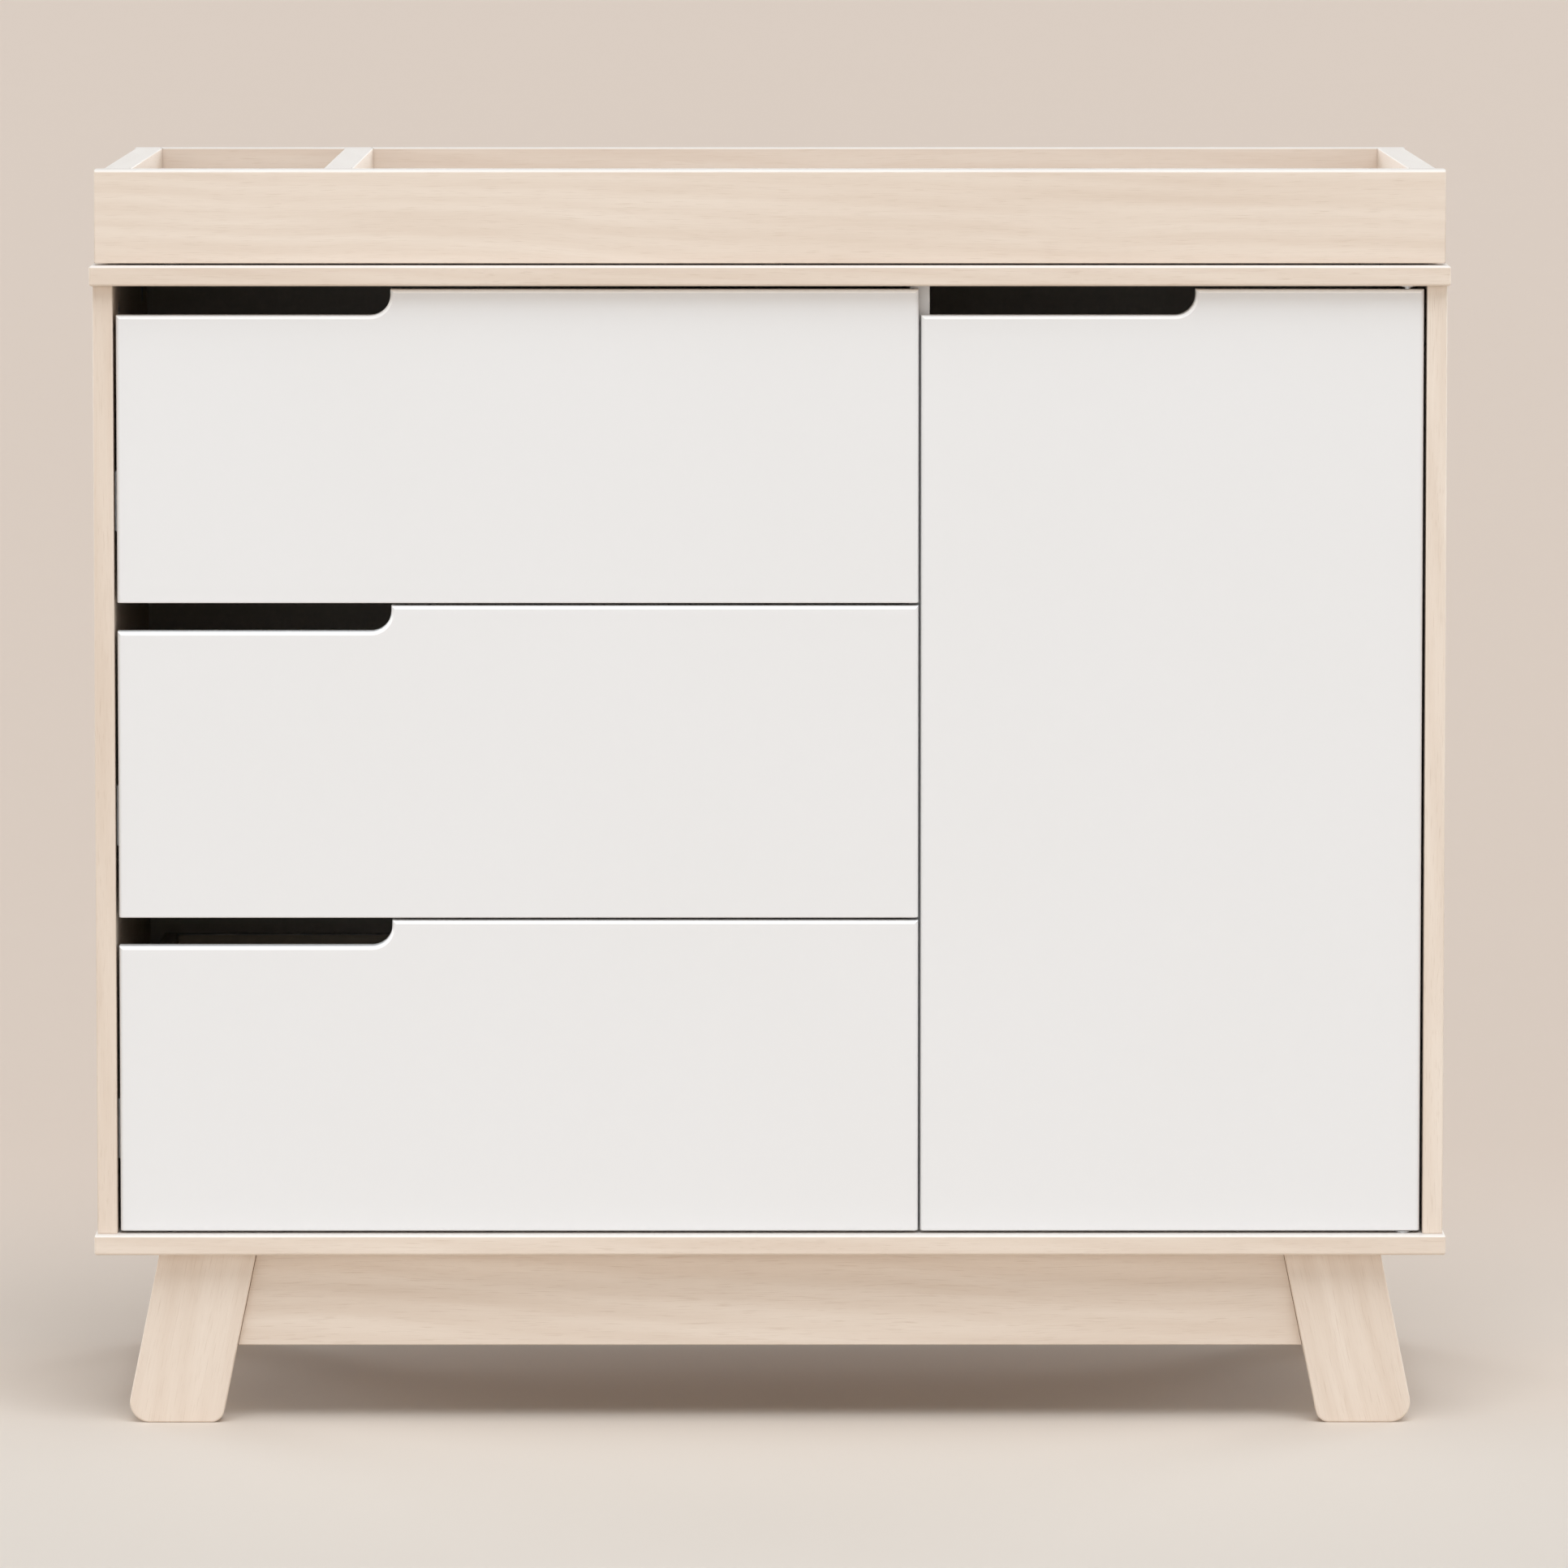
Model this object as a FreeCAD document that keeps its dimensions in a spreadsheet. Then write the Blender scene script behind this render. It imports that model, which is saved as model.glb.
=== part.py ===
import FreeCAD, Part
import os
import Sketcher

# Changing table: a dresser with three drawers and a cupboard, on four splayed board legs,
# with a lift-off changing tray on its top panel.
# Millimetres. +X is to the right as seen from the front, +Y goes to the back, +Z is up.
# Origin: on the floor, at the middle of the overall width and depth.

doc = FreeCAD.newDocument("changing_table")
Vector = FreeCAD.Vector

# Driving sizes. "Setback" is measured behind the front edge of the top and bottom panels.
driving_sizes = {
    # carcass
    "overall_width": 1015,
    "slab_depth": 486,  # top and bottom panels, front to back
    "slab_thick": 15,
    "slab_round": 2,
    "inside_height": 713,  # between the top and bottom panels
    "panel_thick": 15,  # side panels, partition and shelves
    "panel_round": 1,
    "side_inset": 2,  # side panel from the end of the slabs
    "side_setback": 10,
    "drawer_bay_width": 595,  # between the left side panel and the partition
    "back_thick": 4,
    "back_inset": 12,
    # drawer fronts and door
    "front_setback": 12,
    "front_thick": 18,
    "front_round": 3,  # upper edge, notch and sides; lets the door swing past the side panel
    "front_low_round": 1,
    "front_back_round": 1,
    "front_gap": 2,
    "front_top_gap": 3,
    "front_bottom_gap": 2,
    "front_side_gap": 2.2,
    "front_meeting_gap": 1.7,
    "front_rear_clearance": 2,
    "notch_length": 205,
    "notch_depth": 19.5,
    "notch_radius": 15.5,
    # drawer boxes
    "box_height": 165,
    "box_length": 410,
    "box_lift": 15,  # box above the lower edge of its front
    "box_board": 12,
    "box_round": 1.5,
    "box_bottom_thick": 5,
    "groove_height": 12,
    "groove_depth": 5,
    "groove_clearance": 0.5,
    "groove_slack": 0.2,
    # telescopic slides
    "slide_space": 12.7,
    "slide_length": 400,
    "slide_height": 45,
    "slide_sheet": 1.2,
    "slide_gap": 1.2,  # between the webs
    "ball_gap": 1.8,  # between the flanges, where the ball rows run
    "slide_lift": 60,  # middle of the slide above the lower edge of the box
    "slide_setback": 2,
    # shelves
    "shelf_clearance": 1,
    "shelf_setback": 20,
    "shelf_pin_radius": 2.5,
    "shelf_pin_depth": 8,
    "shelf_pin_reach": 8,
    "shelf_pin_from_edge": 40,
    "shelf_hole_pitch": 32,
    "shelf_hole_clearance": 0.1,
    # cam fittings that hold the upright panels to the slabs
    "cam_radius": 7.5,
    "cam_depth": 11,
    "cam_clearance": 0.1,
    "cam_from_edge": 24,
    "cam_from_front": 60,
    "cam_from_back": 70,
    "cam_bolt_radius": 3,
    "cam_bolt_depth": 10,
    # base
    "leg_height": 130,
    "leg_width": 72.8,
    "leg_thick": 25,
    "leg_lean": 26.7,  # foot beyond the top of the leg
    "leg_top_inset": 48,
    "leg_setback": 22,
    "leg_outer_corner": 15.5,
    "leg_inner_corner": 10,
    "leg_round": 1.5,
    "apron_height": 72.5,
    "apron_thick": 15,
    "stretcher_thick": 18,
    "stretcher_height": 60,
    "block_side": 45,
    "block_height": 50,
    "base_screw_radius": 2.5,
    "base_screw_head_radius": 5,
    "base_screw_head": 3,
    "base_screw_bite": 9,
    "dowel_radius": 4,
    "dowel_length": 36,
    "dowel_from_top": 20,
    "dowel_pitch": 32,
    "fastener_clearance": 0.1,
    # door pivots and catch
    "pivot_from_edge": 12,
    "pivot_from_face": 9,
    "pivot_radius": 3,
    "pivot_clearance": 0.05,
    "pivot_reach": 12,
    "pivot_embed": 9,
    "pivot_collar_radius": 6.5,
    "pivot_collar": 1.2,
    "bushing_wall": 2,
    "bushing_length": 14,
    "catch_width": 14,
    "catch_length": 40,
    "catch_height": 16,
    "catch_round": 1.5,
    "catch_gap": 0.3,
    "strike_radius": 6,
    "strike_thick": 1.2,
    # changing tray
    "tray_height": 70,
    "tray_rail": 22,
    "tray_setback": 12,
    "tray_end_inset": 3.5,
    "tray_side_step": 4.5,  # side rail from the end of the front rail
    "tray_round": 3,
    "tray_edge": 1,
    "small_bay_width": 143.7,
    "tray_base_thick": 6,
    "tray_pad_thick": 1.4,
    "tray_pad_radius": 8,
    "tray_pad_inset": 60,
    # hook brackets that keep the tray from sliding and let it lift off
    "bracket_width": 30,
    "bracket_thick": 2,
    "bracket_rise": 46,  # above the underside of the tray
    "bracket_drop": 13,  # below the top of the top panel
    "bracket_from_middle": 330,
    "bracket_hole_drop": 12,
    "bracket_hole_pitch": 20,
    "hook_radius": 3,
    "hook_clearance": 0.3,
    "hook_play": 0.4,
    "hook_bite": 20,
    "hook_head_radius": 5.5,
    "hook_head": 2,
    "bracket_screw_radius": 2,
    "bracket_screw_head_radius": 4,
    "bracket_screw_bite": 14,
    # pilot holes for a wall strap
    "strap_hole_radius": 1.75,
    "strap_hole_depth": 14,
    "strap_hole_pitch": 40,
}

sheet = doc.addObject("Spreadsheet::Sheet", "Sizes")
for row, (alias, number) in enumerate(driving_sizes.items(), start=1):
    sheet.set(f"A{row}", alias)
    sheet.set(f"B{row}", str(number))
    sheet.setAlias(f"B{row}", alias)
doc.recompute()


class Length:
    """A size on the sheet, or one worked out from them, kept as an expression."""

    def __init__(self, text):
        self.text = str(text)

    def joined(self, sign, other):
        return Length(f"({self.text} {sign} {expression(other)})")

    def __add__(self, other):
        return self.joined("+", other)

    def __sub__(self, other):
        return self.joined("-", other)

    def __mul__(self, other):
        return self.joined("*", other)

    def __truediv__(self, other):
        return self.joined("/", other)

    def __neg__(self):
        return Length(f"(0 - {self.text})")


def expression(length):
    return length.text if isinstance(length, Length) else str(length)


def value(length):
    return float(sheet.evalExpression(expression(length)))


def size(alias):
    return Length("Sizes." + alias)


def bind(item, path, length):
    item.setExpression(path, expression(length))


def put(item, place):
    """Hold the item's own origin at a place given by three lengths."""
    for axis, length in zip("xyz", place):
        bind(item, ".Placement.Base." + axis, length)


def origin_plane(body, role):
    return next(plane for plane in body.Origin.OriginFeatures if plane.Role == role)


def draw_outline(sketch, corners):
    """A closed outline of straight sides, each corner held by two dimensions from the origin."""
    points = [Vector(value(across), value(up), 0) for across, up in corners]
    count = len(points)
    for side in range(count):
        sketch.addGeometry(Part.LineSegment(points[side], points[(side + 1) % count]))
    for side in range(count):
        sketch.addConstraint(Sketcher.Constraint("Coincident", side, 2, (side + 1) % count, 1))
    for side, corner in enumerate(corners):
        for kind, length in zip(("DistanceX", "DistanceY"), corner):
            held = sketch.addConstraint(
                Sketcher.Constraint(kind, -1, 1, side, 1, value(length)))
            bind(sketch, f"Constraints[{held}]", length)


def rectangle(width, height):
    return [(0, 0), (width, 0), (width, height), (0, height)]


def board(label, facing, corners, thickness, place):
    """A flat board: its outline lies across the facing axis, its low corner is at the place.

    The outline's two directions are X, Z for a board facing Y; Y, Z for X; and X, Y for Z.
    """
    body = doc.addObject("PartDesign::Body", label)
    body.Label = label
    sketch = body.newObject("Sketcher::SketchObject", label + "_outline")
    role = {"x": "YZ_Plane", "y": "XZ_Plane", "z": "XY_Plane"}[facing]
    sketch.AttachmentSupport = [(origin_plane(body, role), "")]
    sketch.MapMode = "FlatFace"
    draw_outline(sketch, corners)
    pad = body.newObject("PartDesign::Pad", label + "_pad")
    pad.Profile = sketch
    bind(pad, "Length", thickness)
    across, along, up = place
    if facing == "y":
        along = thickness + along  # a pad on the XZ plane grows towards -Y
    put(body, (across, along, up))
    doc.recompute()
    return body


def at(along=None, **ends):
    """Describe edges: at the low or high end, or at a length, in x, y or z, and their run."""
    return {"along": along, "ends": ends}


def edge_matches(edge, box, wanted):
    span = edge.BoundBox
    lows = {"x": span.XMin, "y": span.YMin, "z": span.ZMin}
    highs = {"x": span.XMax, "y": span.YMax, "z": span.ZMax}
    box_lows = {"x": box.XMin, "y": box.YMin, "z": box.ZMin}
    box_highs = {"x": box.XMax, "y": box.YMax, "z": box.ZMax}
    touching = 0.01
    for axis, end in wanted["ends"].items():
        if end == "low":
            level = box_lows[axis]
        elif end == "high":
            level = box_highs[axis]
        else:
            level = value(end)
        if abs(lows[axis] - level) > touching or abs(highs[axis] - level) > touching:
            return False
    run = wanted["along"]
    if run is None:
        return True
    return all(highs[axis] - lows[axis] < touching for axis in "xyz" if axis != run)


def soften(body, radius, *places):
    """Round the edges that match any of the places."""
    below = body.Tip
    solid = below.Shape
    names = [f"Edge{number}" for number, edge in enumerate(solid.Edges, start=1)
             if any(edge_matches(edge, solid.BoundBox, place) for place in places)]
    if not names:
        raise ValueError("no edge to round on " + body.Label)
    fillet = body.newObject("PartDesign::Fillet", body.Label + "_round")
    fillet.Base = (below, names)
    bind(fillet, "Radius", radius)
    doc.recompute()
    return body


def rod(label, axis, radius, length, place):
    """A round rod whose end's middle is at the place and that runs along an axis."""
    cylinder = doc.addObject("Part::Cylinder", label)
    turns = {"x": (Vector(0, 1, 0), 90), "y": (Vector(1, 0, 0), -90), "z": (Vector(0, 0, 1), 0)}
    direction, angle = turns[axis]
    cylinder.Placement = FreeCAD.Placement(Vector(0, 0, 0), FreeCAD.Rotation(direction, angle))
    bind(cylinder, "Radius", radius)
    bind(cylinder, "Height", length)
    put(cylinder, place)
    return cylinder


nodes = []


def keep(item, label=None):
    """Name the item as one piece of the table."""
    if label:
        item.Label = label
    nodes.append(item)
    return item


def gather(label, pieces):
    """Several alike pieces kept together as separate solids."""
    compound = doc.addObject("Part::Compound", label)
    compound.Links = pieces
    return compound


def fused(label, pieces):
    fusion = doc.addObject("Part::MultiFuse", label)
    fusion.Shapes = pieces
    return fusion


def drilled(label, blank, drills):
    """The blank with a hole where each drill stands."""
    blank.Label = label + "_blank"
    cut = doc.addObject("Part::Cut", label + "_drilled")
    cut.Base = blank
    cut.Tool = gather(label + "_holes", drills)
    doc.recompute()
    if cut.Shape.Volume >= blank.Shape.Volume:
        raise ValueError("the drills miss " + label)
    return keep(cut, label)


# Heights, depths and widths that several pieces share
half_width = size("overall_width") / 2
overall_depth = (size("slab_depth") + size("bracket_thick") + size("hook_play")
                 + size("hook_head"))
front_y = -(overall_depth / 2)
back_y = front_y + size("slab_depth")
inside_bottom = size("leg_height") + size("slab_thick")
inside_top = inside_bottom + size("inside_height")
table_top = inside_top + size("slab_thick")
tray_bottom = table_top + size("tray_pad_thick")

side_outer = half_width - size("side_inset")
side_inner = side_outer - size("panel_thick")
partition_left = -side_inner + size("drawer_bay_width")
partition_right = partition_left + size("panel_thick")
partition_middle = partition_left + size("panel_thick") / 2
front_face_y = front_y + size("front_setback")
front_rear_y = front_face_y + size("front_thick")
partition_front_y = front_rear_y + size("front_rear_clearance")
back_panel_y = back_y - size("back_inset") - size("back_thick")

bottom_face_drills = []  # holes in the bottom panel
top_face_drills = []  # holes in the top panel


# --- Carcass: upright panels, their cam fittings and the shelves ---

cam_pieces = []
cam_bolt_pieces = []


def fit_cams(name, panel_x, face_x, cam_start_x, panel_front_y):
    """Cam fittings at both ends of an upright panel; gives the holes that the panel needs."""
    drills = []
    middle_x = panel_x + size("panel_thick") / 2
    depth_places = {
        "front": panel_front_y + size("cam_from_front"),
        "rear": back_panel_y - size("cam_from_back"),
    }
    for end, place_y in depth_places.items():
        for level in ("low", "high"):
            tag = f"{name}_{end}_{level}"
            if level == "low":
                cam_z = inside_bottom + size("cam_from_edge")
                bolt_z = inside_bottom - size("cam_bolt_depth")
                hole_start = inside_bottom
            else:
                cam_z = inside_top - size("cam_from_edge")
                bolt_z = cam_z + size("cam_radius")
                hole_start = cam_z
            bolt_length = (size("cam_from_edge") - size("cam_radius")
                           + size("cam_bolt_depth"))
            clear_radius = size("cam_bolt_radius") + size("cam_clearance")
            cam_pieces.append(rod(tag + "_cam", "x", size("cam_radius"), size("cam_depth"),
                                  (cam_start_x, place_y, cam_z)))
            cam_bolt_pieces.append(rod(tag + "_bolt", "z", size("cam_bolt_radius"),
                                       bolt_length, (middle_x, place_y, bolt_z)))
            drills.append(rod(tag + "_cam_hole", "x", size("cam_radius") + size("cam_clearance"),
                              size("cam_depth"), (face_x, place_y, cam_z)))
            drills.append(rod(tag + "_bolt_bore", "z", clear_radius, size("cam_from_edge"),
                              (middle_x, place_y, hole_start)))
            slab_drills = bottom_face_drills if level == "low" else top_face_drills
            slab_z = inside_bottom - size("cam_bolt_depth") if level == "low" else inside_top
            slab_drills.append(rod(tag + "_slab_hole", "z", clear_radius,
                                   size("cam_bolt_depth"), (middle_x, place_y, slab_z)))
    return drills


shelf_space = (size("inside_height") - size("panel_thick") * 2) / 3
shelf_levels = {
    "lower": inside_bottom + shelf_space,
    "upper": inside_bottom + shelf_space * 2 + size("panel_thick"),
}
shelf_front_y = partition_front_y + size("shelf_setback")
shelf_rear_y = back_panel_y - size("shelf_clearance")
shelf_pin_ys = {
    "front": shelf_front_y + size("shelf_pin_from_edge"),
    "rear": shelf_rear_y - size("shelf_pin_from_edge"),
}
holes_each_way = 2


def shelf_holes(name, start_x):
    """Rows of shelf pin holes above and below each shelf's own pins."""
    drills = []
    for level, shelf_z in shelf_levels.items():
        for end, place_y in shelf_pin_ys.items():
            for step in range(-holes_each_way, holes_each_way + 1):
                hole_z = shelf_z - size("shelf_pin_radius") + size("shelf_hole_pitch") * step
                drills.append(rod(f"{name}_{level}_{end}_hole_{step + holes_each_way}", "x",
                                  size("shelf_pin_radius") + size("shelf_hole_clearance"),
                                  size("shelf_pin_depth"), (start_x, place_y, hole_z)))
    return drills


def side_panel(label, low_x, inner_face_x, cam_start_x, extra_drills):
    depth = size("slab_depth") - size("side_setback") - size("back_inset") / 2
    panel_y = front_y + size("side_setback")
    blank = board(label, "x", rectangle(depth, size("inside_height")), size("panel_thick"),
                  (low_x, panel_y, inside_bottom))
    soften(blank, size("panel_round"), at(y="low"))
    drills = fit_cams(label, low_x, inner_face_x, cam_start_x, partition_front_y)
    return drilled(label, blank, drills + extra_drills)


side_panel("left_side_panel", -side_outer, -side_inner - size("cam_depth"),
           -side_inner - size("cam_depth"), [])
side_panel("right_side_panel", side_inner, side_inner, side_inner,
           shelf_holes("right_side", side_inner))

partition_blank = board(
    "centre_partition", "x",
    rectangle(back_panel_y - partition_front_y, size("inside_height")),
    size("panel_thick"), (partition_left, partition_front_y, inside_bottom))
soften(partition_blank, size("panel_round"), at(y="low"))
drilled("centre_partition", partition_blank,
        fit_cams("partition", partition_left, partition_right - size("cam_depth"),
                 partition_right - size("cam_depth"), partition_front_y)
        + shelf_holes("partition", partition_right - size("shelf_pin_depth")))

keep(board("back_panel", "y", rectangle(side_inner * 2, size("inside_height")),
           size("back_thick"), (-side_inner, back_panel_y, inside_bottom)))

shelf_pin_pieces = []
for level, shelf_z in shelf_levels.items():
    shelf_width = side_inner - partition_right - size("shelf_clearance") * 2
    shelf = board(level + "_shelf", "z", rectangle(shelf_width, shelf_rear_y - shelf_front_y),
                  size("panel_thick"),
                  (partition_right + size("shelf_clearance"), shelf_front_y, shelf_z))
    keep(soften(shelf, size("panel_round"), at(y="low")))
    pin_length = size("shelf_pin_depth") + size("shelf_pin_reach")
    for end, place_y in shelf_pin_ys.items():
        pin_z = shelf_z - size("shelf_pin_radius")
        for hand, pin_x in (("left", partition_right - size("shelf_pin_depth")),
                            ("right", side_inner - size("shelf_pin_reach"))):
            shelf_pin_pieces.append(rod(f"{level}_{end}_{hand}_pin", "x",
                                        size("shelf_pin_radius"), pin_length,
                                        (pin_x, place_y, pin_z)))
keep(gather("shelf_pins", shelf_pin_pieces))
keep(gather("cam_locks", cam_pieces))
keep(gather("cam_bolts", cam_bolt_pieces))


# --- Base: four leaning board legs, aprons, stretchers and corner blocks ---

leg_top_outer = half_width - size("leg_top_inset")
leg_top_inner = leg_top_outer - size("leg_width")
front_leg_y = front_y + size("leg_setback")
front_leg_rear_y = front_leg_y + size("leg_thick")
rear_leg_y = back_y - size("leg_setback") - size("leg_thick")
slope = size("leg_lean") / size("leg_height")
stretcher_middle = (leg_top_outer - size("leg_width") / 2
                    + slope * size("stretcher_height") / 2)
stretcher_inner = stretcher_middle - size("stretcher_thick") / 2
hands = {"left": -1, "right": 1}
ends = {
    "front": (front_leg_y, front_leg_rear_y - size("apron_thick")),
    "rear": (rear_leg_y, rear_leg_y),
}

dowel_pieces = []
for end, (leg_y, apron_y) in ends.items():
    apron_drills = []
    for hand, sign in hands.items():
        label = f"{end}_{hand}_leg"
        leg_drills = []
        for row in range(2):
            drop = size("dowel_from_top") + size("dowel_pitch") * row
            joint_x = (leg_top_inner + slope * drop) * sign
            dowel_place = (joint_x - size("dowel_length") / 2,
                           apron_y + size("apron_thick") / 2, size("leg_height") - drop)
            tag = f"{label}_dowel_{row}"
            dowel_pieces.append(rod(tag, "x", size("dowel_radius"), size("dowel_length"),
                                    dowel_place))
            hole_radius = size("dowel_radius") + size("fastener_clearance")
            leg_drills.append(rod(tag + "_leg_hole", "x", hole_radius, size("dowel_length"),
                                  dowel_place))
            apron_drills.append(rod(tag + "_apron_hole", "x", hole_radius,
                                    size("dowel_length"), dowel_place))
        outline = [
            ((leg_top_inner + size("leg_lean")) * sign, 0),
            ((leg_top_outer + size("leg_lean")) * sign, 0),
            (leg_top_outer * sign, size("leg_height")),
            (leg_top_inner * sign, size("leg_height")),
        ]
        leg = board(label, "y", outline, size("leg_thick"), (0, leg_y, 0))
        inner_foot = (leg_top_inner + size("leg_lean")) * sign
        outer_foot = (leg_top_outer + size("leg_lean")) * sign
        soften(leg, size("leg_inner_corner"), at(x=inner_foot, z="low", along="y"))
        soften(leg, size("leg_outer_corner"), at(x=outer_foot, z="low", along="y"))
        soften(leg, size("leg_round"), at(y="low"), at(y="high"))
        drilled(label, leg, leg_drills)
    apron_low_half = leg_top_inner + slope * size("apron_height")
    outline = [
        (-apron_low_half, 0),
        (apron_low_half, 0),
        (leg_top_inner, size("apron_height")),
        (-leg_top_inner, size("apron_height")),
    ]
    apron = board(end + "_apron", "y", outline, size("apron_thick"),
                  (0, apron_y, size("leg_height") - size("apron_height")))
    soften(apron, size("panel_round"), at(z="low", along="x"))
    drilled(end + "_apron", apron, apron_drills)
keep(gather("apron_dowels", dowel_pieces))

block_pieces = []
base_screw_pieces = []
block_z = size("leg_height") - size("block_height")
for hand, sign in hands.items():
    low_x = stretcher_inner if sign > 0 else -stretcher_inner - size("stretcher_thick")
    stretcher = board(hand + "_stretcher", "x",
                      rectangle(rear_leg_y - front_leg_rear_y, size("stretcher_height")),
                      size("stretcher_thick"),
                      (low_x, front_leg_rear_y,
                       size("leg_height") - size("stretcher_height")))
    keep(soften(stretcher, size("panel_round"), at(z="low", along="y")))
    for end, inward, corner_y in (("front", 1, front_leg_rear_y), ("rear", -1, rear_leg_y)):
        tag = f"{end}_{hand}"
        corner_x = stretcher_inner * sign
        outline = [(0, 0), (-size("block_side") * sign, 0), (0, size("block_side") * inward)]
        blank = board(tag + "_block", "z", outline, size("block_height"),
                      (corner_x, corner_y, block_z))
        screw_x = corner_x - size("block_side") * sign / 3
        screw_y = corner_y + size("block_side") * inward / 3
        bore = rod(tag + "_block_bore", "z",
                   size("base_screw_radius") + size("fastener_clearance"),
                   size("block_height"), (screw_x, screw_y, block_z))
        block = doc.addObject("Part::Cut", tag + "_block_drilled")
        block.Base = blank
        block.Tool = bore
        block_pieces.append(block)
        shank = rod(tag + "_shank", "z", size("base_screw_radius"),
                    size("block_height") + size("base_screw_bite"),
                    (screw_x, screw_y, block_z))
        head = rod(tag + "_head", "z", size("base_screw_head_radius"), size("base_screw_head"),
                   (screw_x, screw_y, block_z - size("base_screw_head")))
        base_screw_pieces.append(fused(tag + "_base_screw", [shank, head]))
        bottom_face_drills.append(rod(
            tag + "_screw_hole", "z", size("base_screw_radius") + size("fastener_clearance"),
            size("base_screw_bite"), (screw_x, screw_y, size("leg_height"))))
keep(gather("corner_blocks", block_pieces))
keep(gather("corner_screws", base_screw_pieces))


# --- Door, its pivots and its catch ---

def notched_front(label, width, height, place):
    """A slab front with a hand notch cut out of its top left corner."""
    shoulder = height - size("notch_depth")
    outline = [
        (0, 0),
        (width, 0),
        (width, height),
        (size("notch_length"), height),
        (size("notch_length"), shoulder),
        (0, shoulder),
    ]
    front = board(label, "y", outline, size("front_thick"), place)
    soften(front, size("notch_radius"), at(x=size("notch_length"), z=shoulder, along="y"))
    soften(front, size("front_round"), at(y="low", z="high"), at(y="low", z=shoulder),
           at(y="low", x=size("notch_length")), at(y="low", x="low"), at(y="low", x="high"))
    soften(front, size("front_low_round"), at(y="low", z="low"))
    return soften(front, size("front_back_round"), at(y="high"))


front_low_z = inside_bottom + size("front_bottom_gap")
fronts_height = (size("inside_height") - size("front_bottom_gap") - size("front_top_gap"))
door_left = partition_middle + size("front_meeting_gap") / 2
door_right = side_inner - size("front_side_gap")
door_top = front_low_z + fronts_height
pivot_x = door_right - size("pivot_from_edge")
pivot_y = front_face_y + size("pivot_from_face")
door_blank = notched_front("door_panel", door_right - door_left, fronts_height,
                           (door_left, front_face_y, front_low_z))

bushing_bore = size("pivot_radius") + size("pivot_clearance")
bushing_outer = bushing_bore + size("bushing_wall")
# where the bushing, pin, collar and slab hole start at each end of the door, and the gap there
pivot_levels = {
    "lower": (front_low_z, inside_bottom - size("pivot_embed"), inside_bottom,
              inside_bottom - size("pivot_embed"), size("front_bottom_gap")),
    "upper": (door_top - size("bushing_length"),
              inside_top - size("front_top_gap") - size("pivot_reach"),
              inside_top - size("pivot_collar"), inside_top, size("front_top_gap")),
}
door_drills = []
bushing_pieces = []
pivot_pieces = []
for level, (bushing_z, pin_z, collar_z, hole_z, gap) in pivot_levels.items():
    centre = (pivot_x, pivot_y)
    door_drills.append(rod(level + "_bushing_hole", "z",
                           bushing_outer + size("pivot_clearance"), size("bushing_length"),
                           (*centre, bushing_z)))
    bushing = doc.addObject("Part::Cut", level + "_bushing")
    bushing.Base = rod(level + "_bushing_outside", "z", bushing_outer, size("bushing_length"),
                       (*centre, bushing_z))
    bushing.Tool = rod(level + "_bushing_bore", "z", bushing_bore, size("bushing_length"),
                       (*centre, bushing_z))
    bushing_pieces.append(bushing)
    pin = rod(level + "_pivot_pin", "z", size("pivot_radius"),
              size("pivot_embed") + gap + size("pivot_reach"), (*centre, pin_z))
    collar = rod(level + "_pivot_collar", "z", size("pivot_collar_radius"),
                 size("pivot_collar"), (*centre, collar_z))
    pivot_pieces.append(fused(level + "_pivot", [pin, collar]))
    slab_drills = bottom_face_drills if level == "lower" else top_face_drills
    slab_drills.append(rod(level + "_pivot_hole", "z",
                           size("pivot_radius") + size("pivot_clearance"),
                           size("pivot_embed"), (*centre, hole_z)))
drilled("door_panel", door_blank, door_drills)
keep(gather("door_bushings", bushing_pieces))
keep(gather("door_pivots", pivot_pieces))

catch_y = front_rear_y + size("strike_thick") + size("catch_gap")
catch_z = inside_bottom + size("inside_height") / 2 - size("catch_height") / 2
catch = board("magnet_catch", "x", rectangle(size("catch_length"), size("catch_height")),
              size("catch_width"), (partition_right, catch_y, catch_z))
keep(soften(catch, size("catch_round"), at(x="high")))
keep(rod("strike_plate", "y", size("strike_radius"), size("strike_thick"),
         (partition_right + size("catch_width") / 2, front_rear_y,
          catch_z + size("catch_height") / 2)))


# --- Drawers: a notched front, a box with a grooved-in bottom, and telescopic slides ---

drawer_names = ("lower", "middle", "upper")
drawer_height = (fronts_height - size("front_gap") * 2) / 3
drawer_left = -side_inner + size("front_side_gap")
drawer_width = partition_middle - size("front_meeting_gap") / 2 - drawer_left
box_left = -side_inner + size("slide_space")
box_right = partition_left - size("slide_space")
slide_y = partition_front_y + size("slide_setback")


def grooved_side(label, outer_x, inward, box_z):
    """A drawer side with a groove for the bottom; inward is +1 or -1 along X."""
    groove_top = size("groove_height") + size("box_bottom_thick") + size("groove_slack")
    inner = size("box_board") * inward
    groove = inner - size("groove_depth") * inward
    outline = [
        (0, 0),
        (inner, 0),
        (inner, size("groove_height")),
        (groove, size("groove_height")),
        (groove, groove_top),
        (inner, groove_top),
        (inner, size("box_height")),
        (0, size("box_height")),
    ]
    side = board(label, "y", outline, size("box_length"), (outer_x, front_rear_y, box_z))
    return soften(side, size("box_round"), at(z="high", along="y"))


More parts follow.
